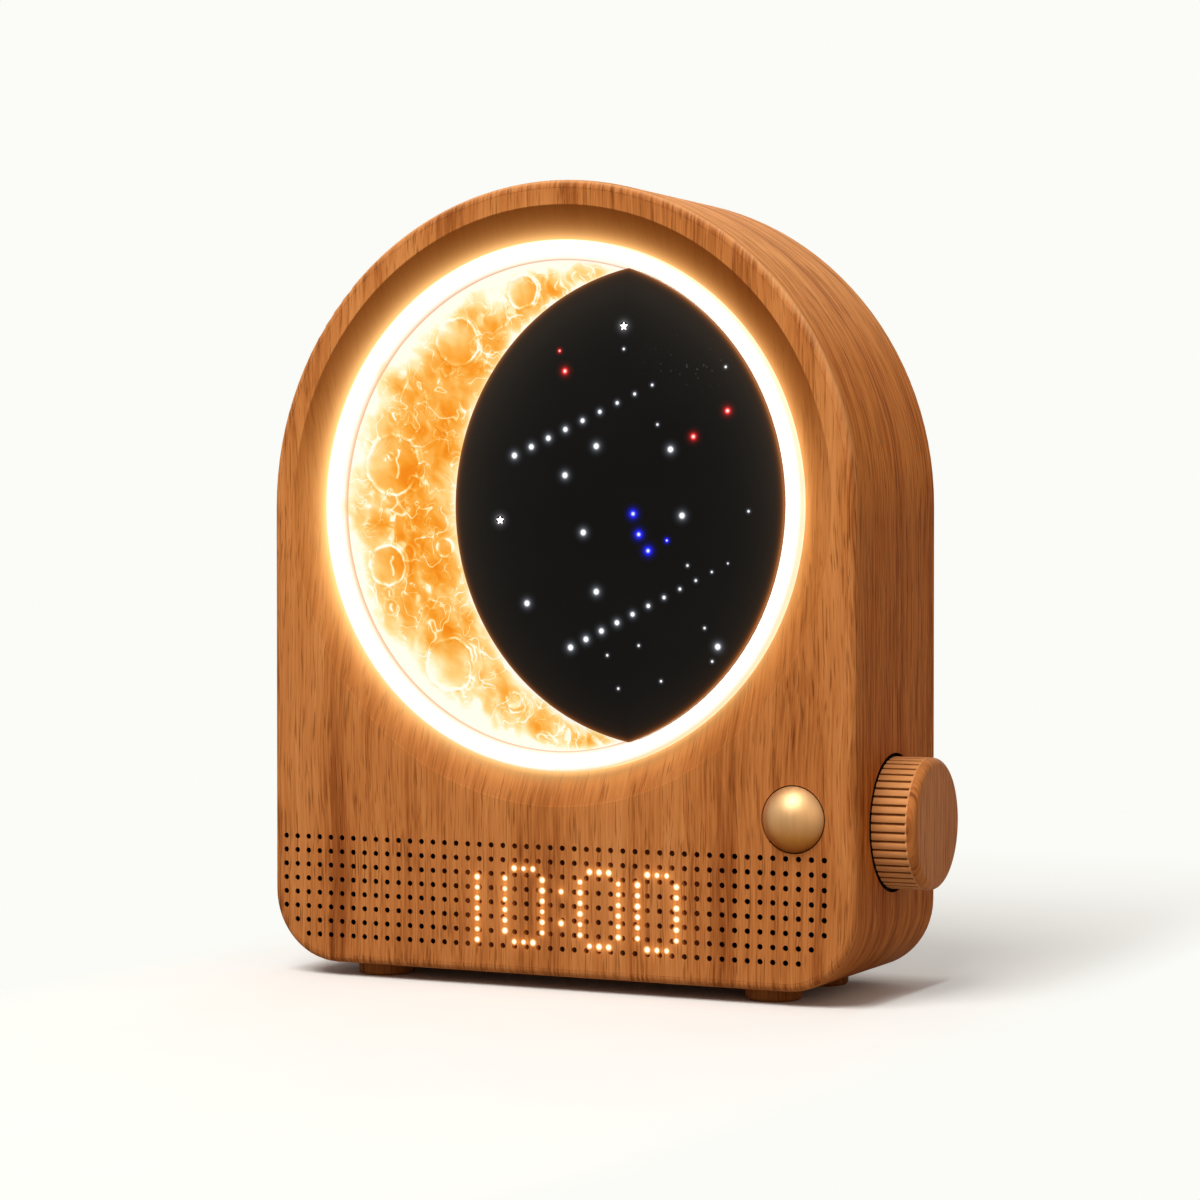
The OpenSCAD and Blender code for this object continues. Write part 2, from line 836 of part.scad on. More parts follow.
module display_baffle() {
    led_room = led_h + led_gap;
    color("black") placed() difference() {
        block(display_x, display_z, baffle_w, baffle_h, veneer_t + glue_gap, front_t);
        block(display_x, display_z, baffle_w - 2 * baffle_edge, baffle_h - 2 * baffle_edge,
            front_t - led_room, front_t + 1);
        at_dots() rod(0, 0, baffle_hole_r, 0, front_t, $fn = SMALL);
    }
}

module display_board() {
    color("darkgreen") placed() difference() {
        block(display_x, display_board_z + display_board_h / 2, display_board_w, display_board_h,
            front_t, front_t + pcb_t);
        at_display_screws() rod(0, 0, wood_screw_r + pin_gap, front_t - 1, front_t + pcb_t + 1);
    }
}

module display_leds() {
    color("lightyellow") placed() at_dots()
        block(0, 0, display_led_w, display_led_w, front_t - led_h, front_t);
}

module display_screws() {
    color("silver") placed() at_display_screws() translate([0, front_t + pcb_t, 0]) rotate([90, 0, 0])
        cap_screw(cap_head_r, cap_head_h, wood_screw_r, pcb_t + lamp_pilot - tip_gap);
}

module display_ribbon() {
    y0 = front_t + pcb_t + display_socket_d - ribbon_in;
    color("lightgray") placed()
        block(display_x, display_ribbon_z, ribbon_w, ribbon_t, y0, socket_y + ribbon_in);
}

// SPEAKERS
module speaker_frame(side) {
    rim_y = front_t + speaker_rim_t;
    back = front_t + speaker_d;
    bowl_w = speaker_w - 2 * speaker_rim;
    bowl_h = speaker_h - 2 * speaker_rim;
    color("gray") placed() translate([side * speaker_x, 0, speaker_z]) difference() {
        union() {
            slab(front_t, rim_y) racetrack(speaker_w, speaker_h);
            slab(front_t, back) racetrack(bowl_w + 2 * speaker_sheet, bowl_h + 2 * speaker_sheet);
        }
        slab(front_t - 1, back - speaker_back_t)
            racetrack(bowl_w - 2 * speaker_sheet, bowl_h - 2 * speaker_sheet);
        rod(0, 0, magnet_r - magnet_lip, front_t, back + 1);
        for (x = [-1, 1])
            block(x * (bowl_w / 2 - speaker_window_side), 0, speaker_window, bowl_h / 2,
                back - speaker_back_t - 1, back + 1);
    }
}

module speaker_cone(side) {
    inset = speaker_rim + speaker_sheet + glue_gap;
    cone_r = speaker_h / 2 - speaker_rim - cone_rim;
    coil_r = magnet_r - cone_coil;
    y0 = front_t + cone_y;
    y1 = y0 + cone_d;
    color("#2b2b2b") placed() translate([side * speaker_x, 0, speaker_z]) {
        slab(y0, y0 + speaker_sheet) difference() {
            racetrack(speaker_w - 2 * inset, speaker_h - 2 * inset);
            circle(cone_r - speaker_sheet);
        }
        turned(0, 0) polygon([
            [cone_r, y0], [cone_r, y0 + speaker_sheet], [coil_r, y1 + speaker_sheet], [0, y1 + speaker_sheet],
            [0, y1], [coil_r - speaker_sheet, y1], [cone_r - speaker_sheet, y0]
        ]);
    }
}

module speaker_magnet(side) {
    back = front_t + speaker_d;
    color("silver") placed() translate([side * speaker_x, 0, speaker_z]) {
        rod(0, 0, magnet_r - magnet_lip - glue_gap, back - magnet_spigot, back + magnet_t / 2);
        rod(0, 0, magnet_r, back, back + magnet_t);
    }
}

// One lead per speaker: back from the frame, across, and into its socket
module lead(side) {
    mirror([side < 0 ? 1 : 0, 0, 0]) translate([0, 0, lead_z]) {
        translate([lead_x, front_t + speaker_d, 0]) rotate([-90, 0, 0])
            cylinder(r = lead_r, h = lead_y - lead_bend - front_t - speaker_d, $fn = SMALL);
        translate([lead_x - lead_bend, lead_y - lead_bend, 0])
            rotate_extrude(angle = 90) translate([lead_bend, 0]) circle(lead_r, $fn = SMALL);
        translate([lead_socket_x + lead_bend, lead_y, 0]) rotate([0, 90, 0])
            cylinder(r = lead_r, h = lead_x - lead_socket_x - 2 * lead_bend, $fn = SMALL);
        translate([lead_socket_x + lead_bend, lead_y + lead_bend, 0]) rotate([0, 0, 180])
            rotate_extrude(angle = 90) translate([lead_bend, 0]) circle(lead_r, $fn = SMALL);
        translate([lead_socket_x, lead_y + lead_bend, 0]) rotate([-90, 0, 0])
            cylinder(r = lead_r, h = socket_y + lead_in - lead_y - lead_bend, $fn = SMALL);
    }
}

module speaker_leads() {
    color("firebrick") placed() for (side = [-1, 1]) lead(side);
}

// BUTTON
module button_dome() {
    flange_r = button_r + button_flange;
    ball = (button_r * button_r + button_rise * button_rise) / (2 * button_rise);
    color("gold") placed() {
        intersection() {
            translate([button_x, ball - button_rise, button_z]) sphere(ball);
            rod(button_x, button_z, button_r, -button_rise - 1, eps);
        }
        rod(button_x, button_z, button_r, 0, button_flange_y);
        rod(button_x, button_z, flange_r, button_flange_y, spring_y);
        rod(button_x, button_z, stem_r, 0, stem_end);
    }
}

// A helix along Y, as rings of a round wire
module helix(r, wire, length, turns) {
    sides = 6;
    rings = 12 * turns;
    rise = (length - 2 * wire) / rings;
    points = [for (i = [0 : rings], j = [0 : sides - 1])
        let (a = 360 * turns * i / rings, b = 360 * j / sides, q = r + wire * cos(b))
            [q * cos(a), wire + rise * i + wire * sin(b), q * sin(a)]];
    skin = [for (i = [0 : rings - 1], j = [0 : sides - 1], half = [0, 1])
        let (p = i * sides + j, n = i * sides + (j + 1) % sides)
            half == 0 ? [p, n, p + sides] : [n, n + sides, p + sides]];
    start_cap = [for (j = [0 : sides - 1]) sides - 1 - j];
    end_cap = [for (j = [0 : sides - 1]) rings * sides + j];
    polyhedron(points, concat(skin, [start_cap, end_cap]));
}

module button_spring() {
    length = front_t + guide_recess - spring_y;
    color("silver") placed() translate([button_x, spring_y, button_z])
        helix(spring_r, wire_r, length, spring_turns);
}

module control_plate() {
    translate([button_x - control_left, button_z - control_low])
        square([control_left + control_right, control_low + control_high]);
}

module button_guide() {
    color("slategray") placed() difference() {
        union() {
            slab(front_t, front_t + guide_t) control_plate();
            at_posts() rod(0, 0, post_r, front_t, control_y);
        }
        rod(button_x, button_z, spring_r + wire_r + slide_gap, front_t - 1, front_t + guide_recess);
        rod(button_x, button_z, stem_r + run_gap, front_t - 1, front_t + guide_t + 1);
        at_posts() rod(0, 0, wood_screw_r + pin_gap, front_t - 1, control_y + 1);
    }
}

module switch_plunger() {
    color("ivory") placed()
        rod(button_x, button_z, plunger_r, stem_end, switch_y + plunger_in);
}

module switch_body() {
    depth = plunger_in + button_travel + slide_gap;
    color("#333333") placed() difference() {
        block(button_x, button_z, switch_w, switch_w, switch_y, control_y);
        rod(button_x, button_z, plunger_r + run_gap, switch_y - 1, switch_y + depth);
    }
}

module control_board() {
    color("darkgreen") placed() difference() {
        slab(control_y, control_y + pcb_t) control_plate();
        at_posts() rod(0, 0, wood_screw_r + pin_gap, control_y - 1, control_y + pcb_t + 1);
    }
}

module control_screws() {
    color("silver") placed() at_posts() translate([0, control_y + pcb_t, 0]) rotate([90, 0, 0])
        cap_screw(cap_head_r, cap_head_h, wood_screw_r, control_y + pcb_t - front_t + lamp_pilot - tip_gap);
}

// KNOB
// The shaft's outline with its flat
module shaft_outline(grow) {
    intersection() {
        circle(shaft_r + grow);
        translate([-2 * shaft_r, -2 * shaft_r]) square([4 * shaft_r, 2 * shaft_r + flat_y + grow]);
    }
}

// A drawing across the knob's axis, thickened along X
module across_knob(x0, x1) {
    translate([x0, knob_y, knob_z]) rotate([0, 90, 0]) linear_extrude(x1 - x0) children();
}

module knob() {
    length = knob_face - knob_x;
    flute_end = length - knob_round - flute_stop;
    color("sandybrown") placed() difference() {
        translate([knob_x, knob_y, knob_z]) rotate([0, 90, 0]) difference() {
            rotate_extrude() {
                square([knob_r, length - knob_round]);
                square([knob_r - knob_round, length]);
                translate([knob_r - knob_round, length - knob_round]) circle(knob_round, $fn = SMALL);
            }
            for (i = [0 : flutes - 1])
                rotate(360 * i / flutes) translate([knob_r + flute_r / 4, 0, -1])
                    cylinder(r = flute_r, h = flute_end + 1, $fn = SMALL);
        }
        axle(knob_cavity_r, knob_x - 1, knob_x + knob_cavity);
        axle(shaft_r + run_gap, knob_x, flat_x);
        across_knob(flat_x - eps, shaft_end + slide_gap) shaft_outline(run_gap);
    }
}

module encoder_shaft() {
    color("silver") placed() {
        axle(shaft_r, shaft_start, flat_x);
        across_knob(flat_x, shaft_end) shaft_outline(0);
    }
}

module encoder_bush() {
    color("darkgray") placed() difference() {
        axle(bush_r, inner_x, bush_end);
        axle(shaft_r + run_gap, inner_x - 1, bush_end + 1);
    }
}

module encoder_nut() {
    color("silver") placed() difference() {
        translate([recess_x, knob_y, knob_z]) rotate([0, 90, 0]) cylinder(r = nut_r, h = nut_t, $fn = 6);
        axle(bush_r + pin_gap, recess_x - 1, recess_x + nut_t + 1);
    }
}

module encoder_body() {
    color("slateblue") placed() difference() {
        translate([inner_x - encoder_d, knob_y - encoder_w / 2, knob_z - encoder_w / 2])
            cube([encoder_d, encoder_w, encoder_w]);
        axle(shaft_r + run_gap, shaft_start - slide_gap, inner_x + 1);
    }
}

// MAIN BOARD
module main_board() {
    color("green") placed() difference() {
        block(0, board_z + board_h / 2, board_w, board_h, main_y, main_y + pcb_t);
        at_pillars() rod(0, 0, wood_screw_r + pin_gap, main_y - 1, back_y);
    }
}

module board_pillars() {
    color("goldenrod") placed() at_pillars() difference() {
        translate([0, main_y + pcb_t, 0]) rotate([-90, 0, 0]) cylinder(r = pillar_r, h = pillar_l, $fn = 6);
        rod(0, 0, wood_screw_r + pin_gap, main_y, back_y + 1);
    }
}

module board_screws() {
    color("silver") placed() at_pillars() translate([0, main_y, 0]) rotate([-90, 0, 0])
        cap_screw(cap_head_r, cap_head_h, wood_screw_r, pcb_t + pillar_l + back_t / 2 - tip_gap);
}

module ribbon_socket(x, z, y0, y1, mouth_y0, mouth_y1) {
    difference() {
        block(x, z, ribbon_w + 2 * socket_rim, socket_h, y0, y1);
        block(x, z, ribbon_w + 2 * ribbon_gap, ribbon_t + 2 * ribbon_gap, mouth_y0, mouth_y1);
    }
}

module board_sockets() {
    board_back = front_t + pcb_t;
    color("white") placed() {
        for (p = [[lamp_ribbon_x, lamp_ribbon_z], [display_x, display_ribbon_z]])
            ribbon_socket(p[0], p[1], socket_y, main_y, socket_y - 1, socket_y + ribbon_in);
        ribbon_socket(display_x, display_ribbon_z, board_back, board_back + display_socket_d,
            board_back + display_socket_d - ribbon_in, board_back + display_socket_d + 1);
        for (side = [-1, 1]) difference() {
            block(side * lead_socket_x, lead_z, lead_socket, lead_socket, socket_y, main_y);
            rod(side * lead_socket_x, lead_z, lead_r + pin_gap, socket_y - 1, socket_y + lead_in,
                $fn = SMALL);
        }
    }
}

module processor() {
    color("#1a1a1a") placed() block(-cell_x, cell_z, chip_w, chip_w, main_y - chip_t, main_y);
}

module cell_holder() {
    r = cell_r + pin_gap;
    color("#444444") placed() difference() {
        rod(cell_x, cell_z, r + holder_rim, main_y - holder_t - cell_t, main_y);
        rod(cell_x, cell_z, r, main_y - holder_t - cell_t - 1, main_y - holder_t);
    }
}

module backup_cell() {
    color("gainsboro") placed() rod(cell_x, cell_z, cell_r, main_y - holder_t - cell_t, main_y - holder_t);
}

module usb_c_socket() {
    back = main_y + pcb_t;
    color("lightsteelblue") placed() {
        translate([0, 0, inlet_z]) difference() {
            slab(back, usb_end) racetrack(usb_w, usb_h);
            slab(back + usb_back_t, usb_end + 1) racetrack(usb_w - 2 * usb_shell, usb_h - 2 * usb_shell);
        }
        block(0, inlet_z, usb_w - 2 * usb_tongue_side, usb_tongue_t,
            back + usb_back_t / 2, usb_end - usb_tongue_in);
    }
}

case_band();
front_panel();
back_panel();
back_cleats();
back_screws();
foot(-foot_x, foot_y);  // foot_front_left
foot(foot_x, foot_y);  // foot_front_right
foot(-foot_x, case_d - foot_y);  // foot_rear_left
foot(foot_x, case_d - foot_y);  // foot_rear_right
foot_screws();
ring_diffuser();
ring_light_board();
ring_leds();
moon_disc();
moon_light_board();
moon_leds();
star_panel();
star_pins_white();
star_pins_red();
star_pins_blue();
star_light_board();
star_leds();
lamp_housing();
lamp_screws();
lamp_ribbon();
display_baffle();
display_board();
display_leds();
display_screws();
display_ribbon();
speaker_frame(-1);  // left_speaker_frame
speaker_cone(-1);  // left_speaker_cone
speaker_magnet(-1);  // left_speaker_magnet
speaker_frame(1);  // right_speaker_frame
speaker_cone(1);  // right_speaker_cone
speaker_magnet(1);  // right_speaker_magnet
speaker_leads();
button_dome();
button_spring();
button_guide();
switch_body();
switch_plunger();
control_board();
control_screws();
knob();
encoder_shaft();
encoder_bush();
encoder_nut();
encoder_body();
main_board();
board_pillars();
board_screws();
board_sockets();
processor();
usb_c_socket();
backup_cell();
cell_holder();
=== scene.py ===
# %% [markdown]
# # A sunrise alarm clock
# The clock is a bent-wood arch with a lamp in its face: a milky light ring, a glowing moon crescent and a
# black panel of stars. Under the lamp, the time shines through the wood behind a drilled grille. The solids
# come from the frame, so this lesson is about finishes, about light, and about the pieces that need a mesh
# of their own.

# %% Load the frame
import json
import math
import random

import bmesh
import bpy
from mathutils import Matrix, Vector, noise


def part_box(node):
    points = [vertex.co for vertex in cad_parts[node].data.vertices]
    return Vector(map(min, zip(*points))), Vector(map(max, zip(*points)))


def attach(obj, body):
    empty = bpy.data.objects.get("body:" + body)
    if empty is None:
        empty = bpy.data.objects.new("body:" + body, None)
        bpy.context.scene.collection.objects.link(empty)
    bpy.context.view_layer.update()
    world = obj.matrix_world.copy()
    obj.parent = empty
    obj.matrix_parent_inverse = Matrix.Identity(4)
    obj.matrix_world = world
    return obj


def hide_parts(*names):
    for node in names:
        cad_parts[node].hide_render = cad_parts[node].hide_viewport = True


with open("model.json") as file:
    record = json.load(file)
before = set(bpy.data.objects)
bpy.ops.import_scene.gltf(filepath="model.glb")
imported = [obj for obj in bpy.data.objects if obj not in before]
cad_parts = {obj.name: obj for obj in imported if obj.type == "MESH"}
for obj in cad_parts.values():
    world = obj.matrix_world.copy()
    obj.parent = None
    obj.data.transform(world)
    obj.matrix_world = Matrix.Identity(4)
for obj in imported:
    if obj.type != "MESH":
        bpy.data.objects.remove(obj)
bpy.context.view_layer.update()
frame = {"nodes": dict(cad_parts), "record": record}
cad = frame["nodes"]
scene = bpy.context.scene

# %% [markdown]
# The pieces of the scene are placed from boxes of the frame, never from typed places. The hoop gives the
# middle of the case, its face and the middle of the arch, and the lamp's pieces give their own radii. The
# star panel is a lens: its right side lies on the moon's circle, and the arc of its left side runs through
# the two tips and the leftmost point of its box, which gives the arc's radius and middle.

# %% Measure the frame
MM = 0.001
hoop_low, hoop_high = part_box("case_band")
arch_r = (hoop_high.x - hoop_low.x) / 2
face_y = hoop_low.y
lamp = Vector(((hoop_low.x + hoop_high.x) / 2, face_y, hoop_high.z - arch_r))
moon_low, moon_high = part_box("moon_disc")
moon_r = (moon_high.z - moon_low.z) / 2
star_low, star_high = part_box("star_panel")
panel_y = star_low.y
tip_z = (star_high.z - star_low.z) / 2
tip_x = math.sqrt(moon_r ** 2 - tip_z ** 2)
arc_left = star_low.x - lamp.x
arc_x = (moon_r ** 2 - arc_left ** 2) / (2 * (tip_x - arc_left))
arc_r = arc_x - arc_left
print("lamp at", [round(1000 * v, 1) for v in lamp], "moon", round(1000 * moon_r, 1))
print("star arc", round(1000 * arc_r, 1), "about", round(1000 * arc_x, 1))

# %% [markdown]
# A photographer shot the clock from its right, a little over half its height, with a long lens. The camera
# stands at that place, measured from the lamp, and its lens sees the same share of the view.

# %% Camera
VIEW_FROM = Vector((354.35, -696.9, -8.76)) * MM
VIEW_TURN = math.radians(26.08)
VIEW_DROP = math.radians(1.052)
LENS, SENSOR = 95.46, 36
camera = bpy.data.objects.new("camera", bpy.data.cameras.new("camera"))
scene.collection.objects.link(camera)
camera.location = lamp + VIEW_FROM
camera.rotation_euler = (math.radians(90) - VIEW_DROP, 0, VIEW_TURN)
camera.data.sensor_width = SENSOR
camera.data.lens = LENS
scene.camera = camera
print("camera at", [round(v, 3) for v in camera.location])

# %% [markdown]
# Finishes are node graphs. Writing each node by hand takes many lines, so small helpers do it: they start a
# finish, put fixed values on the shader's own sockets, add a node and join its inputs, make a colour ramp,
# and feed an output into the shader or find what feeds it.

# %% Helpers for finishes
def shader_of(finish):
    return finish.node_tree.nodes["Principled BSDF"]


def fix(finish, **values):
    """Puts fixed values on the shader's own sockets."""
    for socket, value in values.items():
        shader_of(finish).inputs[socket.replace("_", " ")].default_value = value


def new_finish(name, **values):
    finish = bpy.data.materials.new(name)
    finish.use_nodes = True
    fix(finish, **values)
    return finish


def add(finish, kind, inputs=(), out=0, **settings):
    made = finish.node_tree.nodes.new("ShaderNode" + kind)
    for name, value in settings.items():
        setattr(made, name, value)
    for key, value in (inputs.items() if isinstance(inputs, dict) else enumerate(inputs)):
        if isinstance(value, bpy.types.NodeSocket):
            finish.node_tree.links.new(value, made.inputs[key])
        else:
            made.inputs[key].default_value = value
    return made.outputs[out]


def ramp(finish, factor, stops):
    made = finish.node_tree.nodes.new("ShaderNodeValToRGB")
    for place, _ in stops[1:-1]:
        made.color_ramp.elements.new(place)
    for stop, (place, colour) in zip(made.color_ramp.elements, stops):
        stop.position = place
        stop.color = (*colour, 1)
    finish.node_tree.links.new(factor, made.inputs[0])
    return made.outputs[0]


def into(finish, **outputs):
    for socket, output in outputs.items():
        finish.node_tree.links.new(output, shader_of(finish).inputs[socket.replace("_", " ")])
    return finish


def feed_of(finish, socket):
    """The output that goes into a socket of the shader."""
    return shader_of(finish).inputs[socket].links[0].from_socket


print("finish helpers ready")

# %% [markdown]
# The next helpers are sums on nodes. A value can be mapped from one span to another, a place can be split
# into its axes, and a distance can be taken as one view shows it: seen from the front, the depth doesn't
# count. Glows are light, so they add up, and each falls off with the distance from what shines.

# %% Helpers for places and glows
FROM_FRONT = (1, 0, 1)
FROM_SIDE = (0, 1, 1)
BLACK = (0, 0, 0, 1)


def maths(finish, operation, *inputs):
    return add(finish, "Math", inputs, operation=operation)


def times(finish, first, second):
    return maths(finish, "MULTIPLY", first, second)


def vectors(finish, operation, *inputs, out="Vector"):
    return add(finish, "VectorMath", inputs, out=out, operation=operation)


def mapped(finish, value, low, high, first=0.0, last=1.0, **settings):
    """Goes from first to last while the value goes from low to high, and stays there."""
    return add(finish, "MapRange", {"Value": value, "From Min": low, "From Max": high, "To Min": first,
                                    "To Max": last}, **settings)


def place_in(finish):
    return add(finish, "TexCoord", out="Object")


def axes(finish, vector):
    return add(finish, "SeparateXYZ", [vector]).node.outputs


def cloud(finish, start, scale, detail, out=0):
    return add(finish, "TexNoise", {"Vector": start, "Scale": scale, "Detail": detail}, out=out)


def bump(finish, height, strength, depth):
    return add(finish, "Bump", {"Strength": strength, "Distance": depth, "Height": height})


def seen_length(finish, vector, view):
    return vectors(finish, "LENGTH", vectors(finish, "MULTIPLY", vector, view), out="Value")


def gap_to_bar(finish, start, middle, half, view):
    """Distance of a place from a straight bar, which is given by its middle and its half lengths."""
    off = vectors(finish, "ABSOLUTE", vectors(finish, "SUBTRACT", start, middle))
    past = vectors(finish, "MAXIMUM", vectors(finish, "SUBTRACT", off, half), (0, 0, 0))
    return seen_length(finish, past, view)


def gap_to_lamp(finish, shift=0.0):
    """Distance from the lamp's middle, or from a point beside it, seen from the front."""
    off = vectors(finish, "SUBTRACT", place_in(finish), lamp + Vector((shift, 0, 0)))
    return seen_length(finish, off, FROM_FRONT)


def falls_off(finish, gap, reach):
    return maths(finish, "EXPONENT", times(finish, gap, -1 / reach))


def mixed(finish, first, second, share, how="MIX"):
    """Mixes two colours; their sockets share names with others, so they go by number."""
    return add(finish, "Mix", {6: first, 7: second, 0: share}, out=2, data_type="RGBA", blend_type=how)


def sum_of_glows(finish, glows):
    """Adds up glows, each a colour and how much of it there is at a place."""
    total = BLACK
    for colour, amount in glows:
        total = mixed(finish, total, mixed(finish, BLACK, (*colour, 1), amount), 1.0, "ADD")
    return total


print("place and glow helpers ready")

# %% [markdown]
# The wood is oiled walnut: broad bands of light and dark, fine streaks along the grain, and thin dark pores
# a few millimetres long. One way is a wave texture, but its bands are too even. Noise that is stretched
# along the grain gives all of them: the same noise at four scales, squeezed across the grain. An oiled face
# has little shine, so the shader's own reflection is kept low and the colour stays deep on the sides.

# %% Wood
WALNUT_LIGHT = (0.60, 0.235, 0.070)
WALNUT = (0.50, 0.172, 0.044)
WALNUT_DARK = (0.29, 0.080, 0.017)
PORE_DARK = (0.40, 0.33, 0.28)
PORE_SHARE = 0.7
SWAY, SWAY_WAVES = 4 * MM, (16, 16, 22)
GRAIN_DEPTH = 0.2 * MM
BANDS, LINES, FIBRES, PORES = (120, 7, 2.0), (760, 16, 3.0), (1900, 55, 2.0), (2300, 105, 1.0)


def walnut(name, grain, shade=1.0, rough=0.55, spread=0.15, broad=0.42, sheen=0.02):
    """A wood finish on a vector whose X and Y run across the grain and whose Z runs along it."""
    finish = new_finish(name, Specular_IOR_Level=sheen)
    start = grain(finish)
    sway = cloud(finish, vectors(finish, "MULTIPLY", start, SWAY_WAVES), 1.0, 1.0, out="Color")
    sway = vectors(finish, "SUBTRACT", sway, (0.5, 0.5, 0.5))
    bent = vectors(finish, "ADD", start, vectors(finish, "MULTIPLY", sway, (SWAY, SWAY, 0.0)))

    def streaks(across, along, detail):
        """Noise with so many waves to the metre, across the grain and along it."""
        squeezed = vectors(finish, "MULTIPLY", bent, (across, across, along))
        return add(finish, "TexNoise", {"Vector": squeezed, "Detail": detail, "Scale": 1.0,
                                        "Roughness": 0.55})

    bands, lines, fibres, pores = (streaks(*waves) for waves in (BANDS, LINES, FIBRES, PORES))
    tone = times(finish, bands, broad)
    for finer, share in ((lines, 0.46), (fibres, 0.54)):
        tone = maths(finish, "ADD", tone, times(finish, finer, share * (1 - broad)))
    light, mid, dark = (tuple(shade * c for c in colour) for colour in (WALNUT_LIGHT, WALNUT, WALNUT_DARK))
    colour = ramp(finish, tone, [(0.5 - spread, dark), (0.5, mid), (0.5 + spread, light)])
    pore = ramp(finish, pores, [(0.30, PORE_DARK), (0.43, (1, 1, 1))])
    colour = mixed(finish, colour, pore, PORE_SHARE, "MULTIPLY")
    height = maths(finish, "ADD", lines, times(finish, pores, 0.6))
    gloss = mapped(finish, lines, 0.0, 1.0, rough + 0.1, rough - 0.06)
    return into(finish, Base_Color=colour, Roughness=gloss, Normal=bump(finish, height, 0.15, GRAIN_DEPTH))


def upright_grain(finish):
    """Grain up the front; the depth counts for little, as in a board whose streaks run through it."""
    return vectors(finish, "MULTIPLY", place_in(finish), (1, 0.12, 1))


def turned_grain(finish):
    """Grain up the face of a piece that is turned about X."""
    return vectors(finish, "MULTIPLY", place_in(finish), (0.1, 1, 1))


print("wood recipe ready")

# %% [markdown]
# A bent hoop has its grain bent with it. A texture on straight coordinates would cut across the bend, so the
# hoop gets its own: the way along the grain is the angle round the arch times its radius, plus the height
# below the arch, and the way across is the depth of the case. The way through the wall counts for little,
# so the streaks also run on round the low corners. The front panel's veneer runs on over the hoop's front
# edge, so there the hoop takes the front's upright grain and no seam shows. The back is a flat board, and it
# has a board's grain.

# %% Bent grain
VENEER = 1.0 * MM
THROUGH_SHARE = 0.08


def bent_grain(finish):
    x, y, z = axes(finish, place_in(finish))
    side = maths(finish, "SUBTRACT", x, lamp.x)
    rise = maths(finish, "SUBTRACT", z, lamp.z)
    above = maths(finish, "MAXIMUM", rise, 0.0)
    below = maths(finish, "MAXIMUM", times(finish, rise, -1.0), 0.0)
    turn = maths(finish, "ARCTAN2", side, above)
    along = maths(finish, "ADD", times(finish, turn, arch_r),
                  times(finish, below, maths(finish, "SIGN", side)))
    outward = vectors(finish, "LENGTH", add(finish, "CombineXYZ", [side, 0.0, above]), out="Value")
    through = times(finish, outward, THROUGH_SHARE)
    bent = add(finish, "CombineXYZ", [through, y, along])
    on_face = maths(finish, "LESS_THAN", y, face_y + VENEER)
    return add(finish, "Mix", {4: bent, 5: upright_grain(finish), 0: on_face}, out=1, data_type="VECTOR")


finishes = {
    "case_wood": walnut("case_wood", bent_grain, spread=0.09, broad=0.28),
    "front_wood": walnut("front_wood", upright_grain, spread=0.13),
    "back_wood": walnut("back_wood", upright_grain, spread=0.13),
    "knob_wood": walnut("knob_wood", turned_grain, rough=0.5, sheen=0.05),
    "foot_wood": walnut("foot_wood", upright_grain, shade=0.7),
    "block_wood": walnut("block_wood", upright_grain, shade=1.15, rough=0.6),
}
print("wood finishes:", sorted(finishes))

# %% [markdown]
# The digits are lit dots behind a skin of wood. They stand on the display's grid, a one and three noughts
# with a colon, and each straight row of dots is one stroke.

# %% Lit strokes of the time
DOT_PITCH = 2.6 * MM
DOT_COLUMNS, DOT_ROWS = 22, 8
NOUGHTS_AT = (3, 11, 17)
baffle_low, baffle_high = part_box("display_baffle")
first_dot = (baffle_low + baffle_high) / 2
first_dot -= Vector((DOT_COLUMNS - 1, 0, DOT_ROWS - 1)) / 2 * DOT_PITCH
first_dot.y = 0


def dot_at(column, row):
    return first_dot + Vector((column, 0, row)) * DOT_PITCH


strokes = [((0, 0), (0, 6)), ((9, 2), (9, 2)), ((9, 5), (9, 5))]
for left in NOUGHTS_AT:
    strokes += [((left, 1), (left, 6)), ((left + 4, 1), (left + 4, 6)),
                ((left + 1, 0), (left + 3, 0)), ((left + 1, 7), (left + 3, 7))]
lit_dots = sorted({(c, r) for a, b in strokes for c in range(a[0], b[0] + 1) for r in range(a[1], b[1] + 1)})
print(len(strokes), "strokes with", len(lit_dots), "lit dots")

# %% [markdown]
# Light spreads in wood, so each stroke of a digit has a warm halo on the face, the grille holes beside it
# look red-brown, and the lamp's ring warms the wood round it, less so at its foot. These halos are painted
# light: an emission in the front's own finish, glows that fall off with the distance to the strokes, which
# are straight bars, and to the ring.

# %% Glow on the front
RING_SEEN_R = 65.5 * MM
RING_SHIFT = -1.2 * MM
GRILLE_TOP = 36 * MM
GLOW_DEPTH = 5 * MM
STROKE_GLOW, STROKE_REACH = (0.52, 0.17, 0.035), 0.9 * MM
HOLE_GLOW, HOLE_REACH = (0.26, 0.048, 0.009), 2.6 * MM
RIM_GLOW, RIM_REACH = (0.84, 0.60, 0.25), 1.5 * MM
WIDE_GLOW, WIDE_REACH = (0.42, 0.17, 0.028), 4.2 * MM
front = finishes["front_wood"]


def gap_to_strokes(finish):
    nearest = None
    for a, b in strokes:
        middle, half = (dot_at(*a) + dot_at(*b)) / 2, (dot_at(*b) - dot_at(*a)) / 2
        gap = gap_to_bar(finish, place_in(finish), middle, half, FROM_FRONT)
        nearest = gap if nearest is None else maths(finish, "MINIMUM", nearest, gap)
    return nearest


